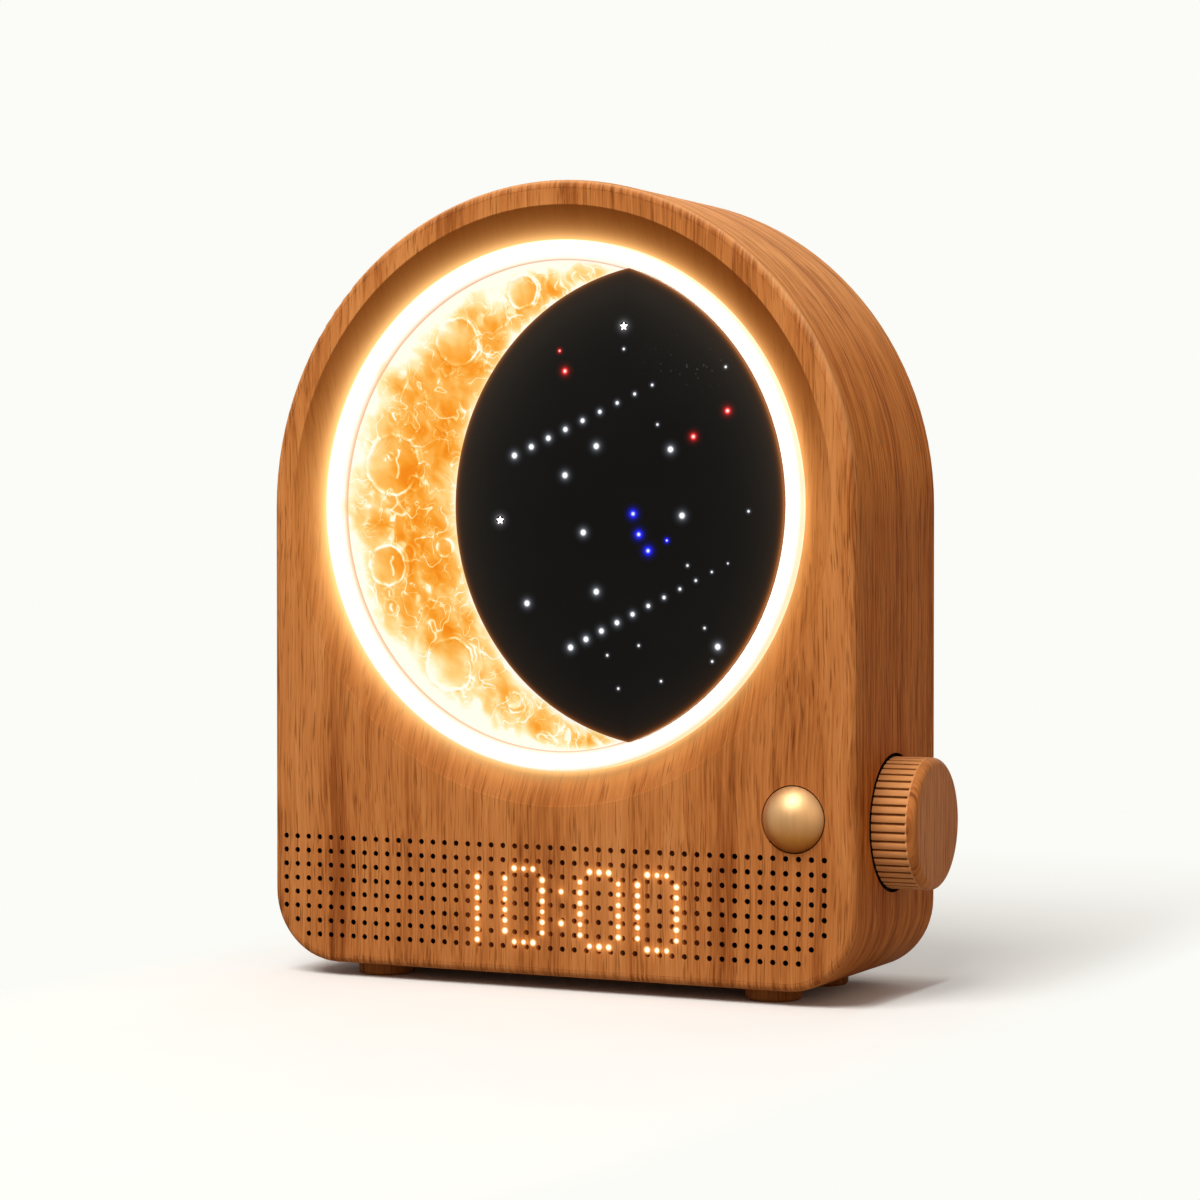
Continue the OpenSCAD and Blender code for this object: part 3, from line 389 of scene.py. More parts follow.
nearest = gap_to_strokes(front)
_, front_y, front_z = axes(front, place_in(front))
skin = mapped(front, front_y, face_y, face_y + GLOW_DEPTH, 1.0, 0.0)
deep = mapped(front, front_y, face_y + 0.05 * MM, face_y + 0.45 * MM)
in_hole = times(front, deep, maths(front, "LESS_THAN", front_z, hoop_low.z + GRILLE_TOP))
off_ring = maths(front, "SUBTRACT", gap_to_lamp(front, RING_SHIFT), RING_SEEN_R)
from_ring = maths(front, "MAXIMUM", off_ring, 0.0)
off_foot = mapped(front, front_z, lamp.z - RING_SEEN_R, lamp.z - 0.4 * RING_SEEN_R, 0.55)
# painted light: the front wood glows round the strokes, in the grille's holes and round the ring
into(front, Emission_Color=sum_of_glows(front, [
    (STROKE_GLOW, times(front, falls_off(front, nearest, STROKE_REACH), skin)),
    (HOLE_GLOW, times(front, in_hole, falls_off(front, nearest, HOLE_REACH))),
    (RIM_GLOW, falls_off(front, from_ring, RIM_REACH)),
    (WIDE_GLOW, times(front, off_foot, falls_off(front, from_ring, WIDE_REACH))),
]))
fix(front, Emission_Strength=1.0)
print("front glow done")

# %% [markdown]
# A hole or a groove in wood looks dark, because little light finds its way out again. The grille's holes are
# short here, so their shade is painted: the front's own colour is turned down with the depth, below the dish
# only. The dish round the lamp gets painted shade too, deeper towards its top, where its slope hangs over.

# %% Painted shade in the holes and the dish
HOLE_PAINTED_SHADE = (0.004, 0.002, 0.001)
DISH_PAINTED_SHADE = (0.15, 0.024, 0.001)
DISH_EDGE = 5 * MM


def tinted(finish, share, colour, how="MIX"):
    before = feed_of(finish, "Base Color")
    into(finish, Base_Color=mixed(finish, before, (*colour, 1), share, how))


# painted shade: the grille's holes are darkened with their depth
tinted(front, in_hole, HOLE_PAINTED_SHADE)
dish_r = arch_r - DISH_EDGE
upper = mapped(front, front_z, lamp.z - 0.1 * dish_r, lamp.z + 0.7 * dish_r, 0.24, 0.90,
               interpolation_type="SMOOTHSTEP")
slope = mapped(front, front_y, face_y + 0.02 * MM, face_y + 0.12 * MM)
in_dish = times(front, slope, maths(front, "LESS_THAN", gap_to_lamp(front), dish_r))
# painted shade on the dish, deepest on its upper slope under the rim
tinted(front, times(front, in_dish, upper), DISH_PAINTED_SHADE)
print("holes dark below", round(1000 * GRILLE_TOP, 1), "mm, dish radius", round(1000 * dish_r, 1), "mm")

# %% [markdown]
# The knob's flutes are painted darker towards their bottoms in the same way, as shade, and their ridges are
# painted pale, as a highlight; a black line at its base is painted shade in the gap to the hoop. The ridges
# are round, but the rounding is too fine for the solid, so it is a coarse bump under the grain's fine one: a
# swell in the middle of each ridge, from the angle about the knob's axis.

# %% Fluted knob
FLUTES = 46
FLUTE_SWELL = 1.3 * MM
KNOB_BEVEL = 2 * MM
RIDGE_PAINTED_LIGHT = (0.84, 0.39, 0.145)
GROOVE_PAINTED_SHADE = (0.05, 0.014, 0.003)
RECESS_PAINTED_SHADE = (0.010, 0.004, 0.001)


def coarser_bump(finish, height, depth):
    """Puts a coarse bump under the fine one that the finish has."""
    fine = feed_of(finish, "Normal").node
    finish.node_tree.links.new(bump(finish, height, 1.0, depth), fine.inputs["Normal"])


knob_low, knob_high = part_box("knob")
knob_middle = (knob_low + knob_high) / 2
knob_r = (knob_high.z - knob_low.z) / 2
knob = finishes["knob_wood"]
from_axis = vectors(knob, "SUBTRACT", place_in(knob), knob_middle)
radius = seen_length(knob, from_axis, FROM_SIDE)
across = axes(knob, place_in(knob))[0]
on_side = maths(knob, "LESS_THAN", across, knob_high.x - KNOB_BEVEL)
ridge = mapped(knob, radius, knob_r - 0.15 * MM, knob_r, 0.0, 0.7)
groove = mapped(knob, radius, knob_r - 0.04 * MM, knob_r - 0.32 * MM)
# painted highlight: the ridges of the flutes are lightened
tinted(knob, times(knob, ridge, on_side), RIDGE_PAINTED_LIGHT)
# painted shade: the grooves between the flutes are darkened
tinted(knob, times(knob, groove, on_side), GROOVE_PAINTED_SHADE)
# painted shade: a black line round the knob's base, in the gap to the hoop
tinted(knob, maths(knob, "LESS_THAN", across, hoop_high.x + 0.1 * MM), RECESS_PAINTED_SHADE)
_, y, z = axes(knob, from_axis)
turn = times(knob, maths(knob, "ARCTAN2", y, z), FLUTES / (2 * math.pi))
off_top = maths(knob, "SUBTRACT", maths(knob, "FRACT", turn), 0.5)
swell = maths(knob, "SUBTRACT", 0.25, maths(knob, "POWER", off_top, 2.0))
coarser_bump(knob, times(knob, swell, on_side), FLUTE_SWELL)
print("knob radius", round(1000 * knob_r, 2), "mm")

# %% [markdown]
# The hoop gets painted shade in the recess behind the knob. Its outside is a little deeper than the face, and
# its shoulders are painted paler, in two steps up the arch, as painted light; a thin painted highlight runs
# along its front edge there too.

# %% Painted shade in the recess, painted light on the hoop's shoulders and front edge
SIDE_TINT = (1.0, 0.88, 0.66)
SHOULDER_PAINTED_LIGHT = [(-5, 12, (1.24, 1.26, 1.05)), (34, 60, (1.12, 1.42, 2.3))]
EDGE_PAINTED_HIGHLIGHT = (0.95, 0.52, 0.24)
EDGE_HIGHLIGHT_AT, EDGE_HIGHLIGHT_W = 0.8 * MM, 0.45 * MM
EDGE_HIGHLIGHT_RISE = 45 * MM
case = finishes["case_wood"]
x, y, z = axes(case, place_in(case))
radius = seen_length(case, vectors(case, "SUBTRACT", place_in(case), knob_middle), FROM_SIDE)
by_knob = times(case, maths(case, "LESS_THAN", radius, knob_r + 1.5 * MM),
                maths(case, "GREATER_THAN", x, hoop_high.x - 2 * MM))
sunk = mapped(case, x, hoop_high.x - 0.05 * MM, hoop_high.x - 0.3 * MM)
# painted shade in the recess behind the knob
tinted(case, times(case, sunk, by_knob), RECESS_PAINTED_SHADE)
past_face = mapped(case, y, face_y + 1 * MM, face_y + 3 * MM)
tinted(case, past_face, SIDE_TINT, "MULTIPLY")
# painted light: the shoulders are made paler in two steps up the arch
for low, high, shoulder_light in SHOULDER_PAINTED_LIGHT:
    up_arch = mapped(case, z, lamp.z + low * MM, lamp.z + high * MM)
    tinted(case, times(case, past_face, up_arch), shoulder_light, "MULTIPLY")
# painted highlight: a thin pale line along the hoop's front edge, rising up the arch
off_edge = maths(case, "DIVIDE", maths(case, "SUBTRACT", y, face_y + EDGE_HIGHLIGHT_AT), EDGE_HIGHLIGHT_W)
painted_light = falls_off(case, times(case, off_edge, off_edge), 1.0)
up_arch = mapped(case, z, lamp.z, lamp.z + EDGE_HIGHLIGHT_RISE, 0.0, 0.45)
tinted(case, times(case, painted_light, up_arch), EDGE_PAINTED_HIGHLIGHT)
print("hoop worn in", len(SHOULDER_PAINTED_LIGHT), "steps")

# %% [markdown]
# The ring is milky acrylic over a row of lights. It is far brighter than the room, so a picture shows it as
# white, while the light that it throws on the dish is warm. A strong warm emission gives both at once. The
# light pins of the stars and the small lights inside are made in the same way, in their own colours.

# %% Ring and other glowing finishes
RIM_SKIN = (0.50, 0.34, 0.15, 1)
RIM_LIGHT = (0.74, 0.52, 0.26, 1)
RIM_W = 1.4 * MM


def glowing(name, colour, strength, base, rim=None):
    finish = new_finish(name, Roughness=0.4, Specular_IOR_Level=0.3, Emission_Strength=strength)
    patches = cloud(finish, place_in(finish), 160.0, 2.0)
    light = ramp(finish, patches, [(0.3, tuple(0.94 * c for c in colour)), (0.7, colour)])
    skin = ramp(finish, patches, [(0.3, tuple(0.92 * c for c in base)), (0.7, base)])
    if rim:
        skin = mixed(finish, skin, RIM_SKIN, rim(finish))
        light = mixed(finish, light, RIM_LIGHT, rim(finish))
    return into(finish, Base_Color=skin, Emission_Color=light)


def ring_edge(finish):
    """Rises from 0 to 1 over the ring's outer edge, where the acrylic is thin and its light is warm."""
    near = mapped(finish, gap_to_lamp(finish, 0.5 * MM), RING_SEEN_R - RIM_W, RING_SEEN_R)
    return times(finish, near, near)


finishes["ring_white"] = glowing("ring_white", (1.0, 0.92, 0.78), 0.9, (0.95, 0.93, 0.88), ring_edge)
GLOWING = {
    "star_white": ((0.95, 0.97, 1.0), 1.6, (0.95, 0.95, 0.95)),
    "star_red": ((1.0, 0.50, 0.46), 1.5, (0.90, 0.04, 0.04)),
    "star_blue": ((0.72, 0.76, 1.0), 1.5, (0.03, 0.05, 0.95)),
    "led_cream": ((1.0, 0.80, 0.45), 0.3, (0.90, 0.82, 0.50)),
}
for name, look in GLOWING.items():
    finishes[name] = glowing(name, *look)
print("glowing finishes:", 1 + len(GLOWING))

# %% [markdown]
# The star panel is satin black acrylic. The lamp behind it warms its edge, and a faint dust of points shows
# at the end of the upper trail. The edge glow is painted light, an emission that falls off with the distance
# to the two arcs of the outline, and a faint painted light from the room along the edge grows towards the
# panel's top; the dust is a cell texture whose dots are cut small and kept to one patch.

# %% Star panel finish
dust_at = lamp + Vector((37, 0, 34.5)) * MM
DUST_SPREAD = (90, 0, 150)
DUST = (0.045, 0.048, 0.052)
EDGE_GLOW, EDGE_REACH = (0.30, 0.085, 0.012), 0.4 * MM
SEEP_GLOW, SEEP_REACH = (0.020, 0.0065, 0.0008), 2.6 * MM
ROOM_PAINTED_GLOW, ROOM_REACH = (0.0145, 0.0120, 0.0090), 9 * MM


def panel_finish(name):
    """Black acrylic with its painted edge light and dust; gives the finish and its glow, which may be added
    to.
    """
    finish = new_finish(name, Specular_IOR_Level=0.03, Emission_Strength=1.0)
    here = place_in(finish)
    mottle = cloud(finish, here, 35.0, 2.0)
    base = ramp(finish, mottle, [(0.3, (0.0045, 0.0044, 0.0042)), (0.7, (0.0062, 0.0060, 0.0058))])
    rough = mapped(finish, mottle, 0.0, 1.0, 0.40, 0.50)
    edge = maths(finish, "MINIMUM", maths(finish, "SUBTRACT", moon_r, gap_to_lamp(finish)),
                 maths(finish, "SUBTRACT", arc_r, gap_to_lamp(finish, arc_x)))
    cells = add(finish, "TexVoronoi", {"Vector": here, "Scale": 700.0})
    speck = mapped(finish, cells, 0.20, 0.10)
    patch = seen_length(finish, vectors(finish, "SUBTRACT", here, dust_at), DUST_SPREAD)
    dust = times(finish, speck, falls_off(finish, maths(finish, "POWER", patch, 2.0), 0.6))
    painted_light_rise = mapped(finish, axes(finish, here)[2], star_low.z, star_high.z, 0.2, 1.7)
    # painted light: the edge glows, and a faint light from the room along it grows towards the top
    glow = sum_of_glows(finish, [
        (EDGE_GLOW, falls_off(finish, edge, EDGE_REACH)),
        (SEEP_GLOW, falls_off(finish, edge, SEEP_REACH)),
        (ROOM_PAINTED_GLOW, times(finish, painted_light_rise, falls_off(finish, edge, ROOM_REACH))),
        (DUST, dust),
    ])
    into(finish, Base_Color=base, Roughness=rough, Emission_Color=glow)
    return finish, glow


finishes["star_black"], _ = panel_finish("star_black")
print("star panel finish done")

# %% [markdown]
# Metals: the button is satin brass, brushed in one direction, and the small hardware is plated steel. A
# fine noise stretched along one axis stands for the brushing, in the roughness and in a very small bump. A
# clear lacquer keeps the brass from tarnish, and it gives the highlight its white. The dome's lower half sees
# the floor's shadow, so it gets painted shade, and its lacquer is made thinner there, so it reflects less.

# %% Metals
BRUSHING = (900, 900, 60)
BRASS_PAINTED_SHADE = (0.40, 0.26, 0.12)
METALS = {
    "pillar_brass": ((0.80, 0.58, 0.26), 0.30),
    "spring_steel": ((0.62, 0.62, 0.64), 0.28),
    "shaft_steel": ((0.66, 0.66, 0.68), 0.30),
    "magnet_steel": ((0.56, 0.56, 0.58), 0.34),
    "screw_steel": ((0.60, 0.60, 0.62), 0.36),
    "screw_dark": ((0.12, 0.115, 0.11), 0.45),
    "screw_heads": ((0.12, 0.115, 0.11), 0.45),
    "speaker_steel": ((0.25, 0.25, 0.26), 0.42),
}


def brushed(name, colour, rough, **lacquer):
    finish = new_finish(name, Metallic=1.0, **lacquer)
    lines = cloud(finish, vectors(finish, "MULTIPLY", place_in(finish), BRUSHING), 1.0, 3.0)
    tint = ramp(finish, lines, [(0.25, tuple(0.86 * c for c in colour)), (0.75, colour)])
    gloss = mapped(finish, lines, 0.0, 1.0, rough - 0.07, rough + 0.07)
    return into(finish, Base_Color=tint, Roughness=gloss, Normal=bump(finish, lines, 0.08, 0.1 * MM))


for name, look in METALS.items():
    finishes[name] = brushed(name, *look)
brass = brushed("button_brass", (0.78, 0.46, 0.17), 0.48, Coat_Roughness=0.42, Coat_IOR=1.75)
dome_low, dome_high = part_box("button_dome")
deep_z = 0.8 * dome_low.z + 0.2 * dome_high.z
shade_share = mapped(brass, axes(brass, place_in(brass))[2], dome_high.z, deep_z)
# painted shade on the dome's lower half; the lacquer is made thinner there too
tinted(brass, shade_share, BRASS_PAINTED_SHADE, "MULTIPLY")
into(brass, Coat_Weight=mapped(brass, shade_share, 0.9, 0.4))
finishes["button_brass"] = brass
print("metals:", 1 + len(METALS))

# %% [markdown]
# The four screws in the back have cross recesses for a driver, which get painted shade and are sunk by a
# bump.
# The screws stand in the corners of a rectangle, so the places of three are folded onto the fourth, and a
# cross is the nearer of two short bars about its middle.

# %% Screw heads
CROSS_ARMS = (Vector((1.25, 0, 0.22)) * MM, Vector((0.22, 0, 1.25)) * MM)
CROSS_DEPTH = 0.2 * MM
CROSS_PAINTED_SHADE = (0.006, 0.006, 0.006)
screw_heads = finishes["screw_heads"]
screws_low, screws_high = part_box("back_screws")
middle = (screws_low + screws_high) / 2
corner = [v.co for v in cad["back_screws"].data.vertices
          if v.co.x > middle.x and v.co.z > middle.z and v.co.y > screws_high.y - 0.02 * MM]
head = sum(corner, Vector()) / len(corner)
folded = vectors(screw_heads, "ABSOLUTE", vectors(screw_heads, "SUBTRACT", place_in(screw_heads), middle))
arms = [gap_to_bar(screw_heads, folded, head - middle, arm, FROM_FRONT) for arm in CROSS_ARMS]
recess = mapped(screw_heads, maths(screw_heads, "MINIMUM", *arms), 0.16 * MM, 0.02 * MM)
# painted shade in the cross recesses
tinted(screw_heads, recess, CROSS_PAINTED_SHADE)
coarser_bump(screw_heads, times(screw_heads, recess, -1.0), CROSS_DEPTH)
print("screw head at", [round(1000 * v, 1) for v in head])

# %% [markdown]
# Plastics, boards, paper and cable jackets sit inside the case, and a cut-open view shows them. Each has the
# grain of its making: a spark-eroded mould skin, copper tracks under green lacquer, pressed fibres, and the
# ribs of a flat cable. The display's black baffle gets a painted dull red glow beside the lit strokes, which
# the holes in front of it show.

# %% Inner finishes
TRACKS = (260, 260, 260)
BAFFLE_PAINTED_GLOW, BAFFLE_GLOW_REACH = (0.13, 0.022, 0.005), 2.2 * MM


def moulded(name, colour, rough=0.5, grain=1400.0):
    finish = new_finish(name, Specular_IOR_Level=0.4)
    skin = cloud(finish, place_in(finish), grain, 2.0)
    tint = ramp(finish, skin, [(0.3, tuple(0.88 * c for c in colour)), (0.7, colour)])
    gloss = mapped(finish, skin, 0.0, 1.0, rough - 0.08, rough + 0.08)
    return into(finish, Base_Color=tint, Roughness=gloss, Normal=bump(finish, skin, 0.12, 0.05 * MM))


def lacquered_board(name):
    finish = new_finish(name, Specular_IOR_Level=0.5)
    here = place_in(finish)
    upright = add(finish, "Mapping", {"Vector": here, "Rotation": (math.radians(90), 0, 0)})
    tracks = add(finish, "TexBrick", {
        "Vector": vectors(finish, "MULTIPLY", upright, TRACKS), "Scale": 1.0, "Mortar Size": 0.05,
        "Color1": (0.012, 0.12, 0.05, 1), "Color2": (0.010, 0.10, 0.042, 1), "Mortar": (0.05, 0.26, 0.10, 1)})
    gloss = mapped(finish, cloud(finish, here, 300.0, 2.0), 0.0, 1.0, 0.22, 0.38)
    return into(finish, Base_Color=tracks, Roughness=gloss)


def ribbed(name, colour, ribs):
    finish = new_finish(name, Specular_IOR_Level=0.4)
    wave = add(finish, "TexWave", {"Vector": place_in(finish), "Scale": ribs}, out="Fac")
    tint = ramp(finish, wave, [(0.1, tuple(0.7 * c for c in colour)), (0.6, colour)])
    gloss = mapped(finish, wave, 0.0, 1.0, 0.5, 0.36)
    return into(finish, Base_Color=tint, Roughness=gloss, Normal=bump(finish, wave, 0.3, 0.2 * MM))


MOULDED = {
    "housing_white": ((0.85, 0.85, 0.84),),
    "black_plastic": ((0.022, 0.022, 0.022),),
    "plunger_white": ((0.85, 0.84, 0.80), 0.4),
    "baffle_black": ((0.010, 0.009, 0.009), 0.7),
    "cone_paper": ((0.05, 0.048, 0.046), 0.8, 2600.0),
    "lead_red": ((0.42, 0.04, 0.03), 0.45),
    "moon_resin": ((0.95, 0.62, 0.20),),
}
for name, look in MOULDED.items():
    finishes[name] = moulded(name, *look)
finishes["ribbon_grey"] = ribbed("ribbon_grey", (0.55, 0.55, 0.55), 250.0)
finishes["board_green"] = lacquered_board("board_green")
baffle = finishes["baffle_black"]
fix(baffle, Specular_IOR_Level=0.05, Emission_Strength=1.0)
# painted light: the baffle glows dull red near the lit strokes
baffle_glow = falls_off(baffle, gap_to_strokes(baffle), BAFFLE_GLOW_REACH)
into(baffle, Emission_Color=sum_of_glows(baffle, [(BAFFLE_PAINTED_GLOW, baffle_glow)]))
print("inner finishes:", 2 + len(MOULDED))

# %% [markdown]
# Every solid of the frame takes the finish of its slot in the record, so a solid and its neighbours of the
# same stuff look alike. Three share a slot but have a finish of their own: the back panel, which is a
# board, the display's baffle, which is lit, and the back's screws, whose heads show.

# %% Finish the solids
OWN_FINISH = {"back_panel": "back_wood", "display_baffle": "baffle_black", "back_screws": "screw_heads"}
for part in frame["record"]["subparts"]:
    solid = cad[part["node"]].data
    solid.materials.clear()
    solid.materials.append(finishes[OWN_FINISH.get(part["node"], part["material_slot"])])

# %% [markdown]
# New pieces share their last steps: a mesh from the bmesh, a finish, the body that carries the piece, and the
# hiding of the solids of the frame that the piece stands for.

# %% Helper for new pieces
def finished(shape, name, finish, stands_for=()):
    mesh = bpy.data.meshes.new(name)
    shape.to_mesh(mesh)
    shape.free()
    mesh.materials.append(finish)
    piece = bpy.data.objects.new(name, mesh)
    scene.collection.objects.link(piece)
    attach(piece, "clock_body")
    if stands_for:
        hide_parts(*stands_for)
    print(name, len(mesh.polygons), "faces")


print("piece helper ready")

# %% [markdown]
# The moon is a cast resin relief, lit from behind. Its craters, cracks and rims are real heights. Six craters
# stand at places of their own, in hundredths of the moon's radius, and small ones are strewn by chance. A
# sculpted mesh would do as well, but a formula gives the same moon at each run.

# %% Craters and cracks
CRATERS = [(-45.4, 67.2, 9.5), (-15.7, 86.9, 6.6), (-76.4, 17.7, 12.3), (-78.7, -24.3, 8.2),
           (-49.2, -64.8, 10.7), (-51.6, -17.0, 3.6)]
SMALL_CRATERS = 34
CRATER_RIM_W, OUTER_RIM_W, RIDGE_W = 0.29 * MM, 0.24 * MM, 0.30 * MM
HILL_H, CREASE_H, RIM_H, CRATER_H = 0.22, 0.16, 0.40, 0.8
DOUBLE_RIM_R, FULL_DEPTH_R = 3 * MM, 5 * MM
craters = [(x * moon_r / 100, z * moon_r / 100, r * moon_r / 100, 1.0) for x, z, r in CRATERS]
dice = random.Random(7)
for _ in range(SMALL_CRATERS):
    turn, way = dice.uniform(1.5, 4.8), dice.uniform(0.58, 0.88)
    size, depth_share = dice.uniform(0.7, 2.2) * MM, dice.uniform(0.15, 0.75)
    craters.append((way * moon_r * math.cos(turn), way * moon_r * math.sin(turn), size, depth_share))


def clamped(value):
    return min(1.0, max(0.0, value))


def rim_line(off, width):
    return math.exp(-(off / width) ** 2)


def relief(x, z):
    """Height in millimetres over the moon's face, how much of a pale rim runs there, how deep in a crater."""
    p = Vector((x, z, 0)) / MM
    hills = noise.fractal(p * 0.11, 0.8, 2.2, 5)
    creases = 1 - abs(noise.noise(p * 0.30 + Vector((4, 2, 6))) * 2)
    height, pale, floor = HILL_H * hills + CREASE_H * creases, 0.0, 0.0
    for cx, cz, r, strength in craters:
        gap = math.hypot(x - cx, z - cz)
        if gap > 1.7 * r:
            continue
        turn = math.atan2(z - cz, x - cx)
        around = Vector((math.cos(turn), math.sin(turn), cx / MM))
        ragged = 1 + 0.10 * noise.noise(around * 2.0) + 0.03 * noise.noise(around * 7.0)
        q = gap / (r * ragged)
        broken = clamped(0.55 + 1.3 * noise.noise(around * 1.6 + Vector((0, 0, 9))) + 0.25 * math.cos(turn))
        rim = rim_line((q - 1) * r, CRATER_RIM_W)
        outer = rim_line((q - 1.17) * r, OUTER_RIM_W) * max(0.0, math.cos(turn - 0.3)) * (r > DOUBLE_RIM_R)
        pale = max(pale, strength * broken * max(rim, 0.8 * outer))
        height += RIM_H * strength * rim
        if q < 1:
            height -= CRATER_H * min(1.0, r / FULL_DEPTH_R) * strength * (1 - q * q)
            floor = max(floor, strength * (1 - q ** 5) * (0.75 + 0.35 * q * math.cos(turn - 4.0)))
            ridge = rim_line(x - cx - 0.2 * r - 1.4 * MM * noise.noise(p * 0.45), RIDGE_W)
            split = cx < -0.7 * moon_r and abs(z - cz) < 0.5 * r
            pale = max(pale, split * ridge)
    return height, pale, floor


print(len(craters), "craters")

# %% [markdown]
# The relief is a fine grid that is bent into a crescent: one way of the grid runs round the moon, the other
# from the ring to the star panel, and its edges reach a little under both. Each vertex is then raised or
# sunk, less so near the edges. Its tone says how pale the resin is there: palest are the rims, the two ends
# and the strips by the ring and by the star panel. A wall round the edge closes the piece at its back.

# %% Moon relief
ROUND, ACROSS = 700, 125
RIM_SEAT = 0.36 * MM
LAP = 0.7 * MM
FACE_SINK = 1.7 * MM
CALM_BY_RING, CALM_BY_STARS = 2.5 * MM, 2.0 * MM
inner_r = arc_r - LAP
rim_r = moon_r + RIM_SEAT
meet_x = (rim_r ** 2 - inner_r ** 2 + arc_x ** 2) / (2 * arc_x)
meet_z = math.sqrt(rim_r ** 2 - meet_x ** 2)
outer_from = math.atan2(meet_z, meet_x)
inner_from = math.atan2(meet_z, meet_x - arc_x)


def on_crescent(t, s):
    """A place on the crescent: t runs round the moon, s from the ring to the star panel."""
    a = outer_from + t * (2 * math.pi - 2 * outer_from)
    b = inner_from + t * (2 * math.pi - 2 * inner_from)
    outer = Vector((rim_r * math.cos(a), rim_r * math.sin(a)))
    inner = Vector((arc_x + inner_r * math.cos(b), inner_r * math.sin(b)))
    return outer.lerp(inner, s)


def tone_at(x, z, to_ring, to_stars, pale, floor):
    """How pale the resin is, and how free of wrinkles."""
    mottle = noise.fractal(Vector((x, z, 0)) / MM * 0.11 + Vector((2, 4, 8)), 0.8, 2.1, 2)
    pale_end = 0.20 * clamped((-z / moon_r - 0.42) / 0.3) + 0.20 * clamped((z / moon_r - 0.60) / 0.3)
    reach = min(7.4 * MM, max(1.2 * MM, 0.28 * (to_ring + to_stars)))
    inner_reach = min((1.9 + 1.3 * max(0, -z / moon_r)) * MM, 0.4 * reach)
    hot = 0.88 * math.exp(-(to_ring / reach) ** 1.5) + 0.85 * math.exp(-to_stars / inner_reach)
    fill = 0.16 if z > -0.45 * moon_r else -0.20
    tone = 0.25 + 0.36 * mottle + 0.72 * pale - fill * floor + pale_end + hot
    return tone, min(1.0, max(1.5 * floor, 0.95 * hot))


shape = bmesh.new()
bmesh.ops.create_grid(shape, x_segments=ROUND, y_segments=ACROSS, size=0.5)
tone_layer = shape.verts.layers.float.new("tone")
plain_layer = shape.verts.layers.float.new("plain")
for v in shape.verts:
    x, z = on_crescent(0.5 + 0.999 * v.co.x, v.co.y + 0.5)
    to_ring = max(0, moon_r - math.hypot(x, z))
    to_stars = max(0, math.hypot(x - arc_x, z) - arc_r)
    height, pale, floor = relief(x, z)
    calm = min(1, to_ring / CALM_BY_RING) * min(1, to_stars / CALM_BY_STARS)
    v[tone_layer], v[plain_layer] = tone_at(x, z, to_ring, to_stars, pale, floor)
    v.co = lamp + Vector((x, 0, z))
    v.co.y = panel_y + FACE_SINK - height * calm * MM
rims = [e for e in shape.edges if e.is_boundary]
walls = bmesh.ops.extrude_edge_only(shape, edges=rims)["geom"]
for v in walls:
    if isinstance(v, bmesh.types.BMVert):
        v.co.y = moon_high.y
bmesh.ops.holes_fill(shape, edges=[e for e in walls if isinstance(e, bmesh.types.BMEdge) and e.is_boundary])
bmesh.ops.recalc_face_normals(shape, faces=shape.faces)
for f in shape.faces:
    f.smooth = True
print(len(shape.verts), "vertices in the moon")

# %% [markdown]
# The tone was kept on the vertices as an attribute. The casting's own detail is added to it where the resin
# isn't smooth: wrinkles, which are thin lines where a noise crosses its middle, and swells and blisters,
# whose light and shade are painted as the difference of a texture and the same texture moved a little.

# %% Wrinkles and blisters
WRINKLES = [(120.0, 0.013, 140.0, 0.60), (210.0, 0.017, 190.0, 0.50), (340.0, 0.022, 240.0, 0.30)]
DRIFT = 5 * MM
EMBOSS_SHADING_STEP = (0.6 * MM, 0.0, 0.3 * MM)
SWELLS = 170.0
moon_glow = new_finish("moon_glow", Roughness=0.5, Specular_IOR_Level=0.05, Emission_Strength=0.92)
here = place_in(moon_glow)


def moon_maths(operation, *inputs):
    return maths(moon_glow, operation, *inputs)


def moon_noise(scale, start=here, out=0):
    return cloud(moon_glow, start, scale, 1.0, out)


def bubbles(start):
    return add(moon_glow, "TexVoronoi", {"Vector": start, "Scale": 250.0, "Smoothness": 0.25},
               feature="SMOOTH_F1")


drift = vectors(moon_glow, "SUBTRACT", moon_noise(SWELLS, out="Color"), (0.5, 0.5, 0.5))
drifted = vectors(moon_glow, "ADD", here, vectors(moon_glow, "MULTIPLY", drift, (DRIFT, DRIFT, DRIFT)))
lifted = vectors(moon_glow, "ADD", drifted, EMBOSS_SHADING_STEP)
# painted light and shade of the swells
emboss_shading = moon_maths("SUBTRACT", moon_noise(SWELLS, lifted), moon_noise(SWELLS, drifted))
detail = moon_maths("MULTIPLY", emboss_shading, 1.8)
for scale, width, patch_scale, top in WRINKLES:
    off_level = moon_maths("ABSOLUTE", moon_maths("SUBTRACT", moon_noise(scale, drifted), 0.5))
    patch = mapped(moon_glow, moon_noise(patch_scale), 0.47, 0.55)
    wrinkle = moon_maths("MULTIPLY", mapped(moon_glow, off_level, width, 0.0, 0.0, top), patch)
    detail = moon_maths("ADD", detail, wrinkle)
# painted light and shade of the blisters, with paler tops
blister = moon_maths("SUBTRACT", bubbles(lifted), bubbles(drifted))
blister = moon_maths("MULTIPLY", blister, mapped(moon_glow, moon_noise(55.0), 0.44, 0.58))
detail = moon_maths("ADD", detail, moon_maths("MULTIPLY", blister, 0.8))
detail = moon_maths("ADD", detail, mapped(moon_glow, blister, 0.09, 0.15, 0.0, 0.30))
print(len(WRINKLES), "sizes of wrinkles")

# %% [markdown]
# Seen from the front, thin resin is pale and thick resin is deep orange, and slopes that face up and to the
# right get painted light. The tone goes through a colour ramp. A thin seam runs beside the ring, widest on
# the left, where the ring's inner wall shows.

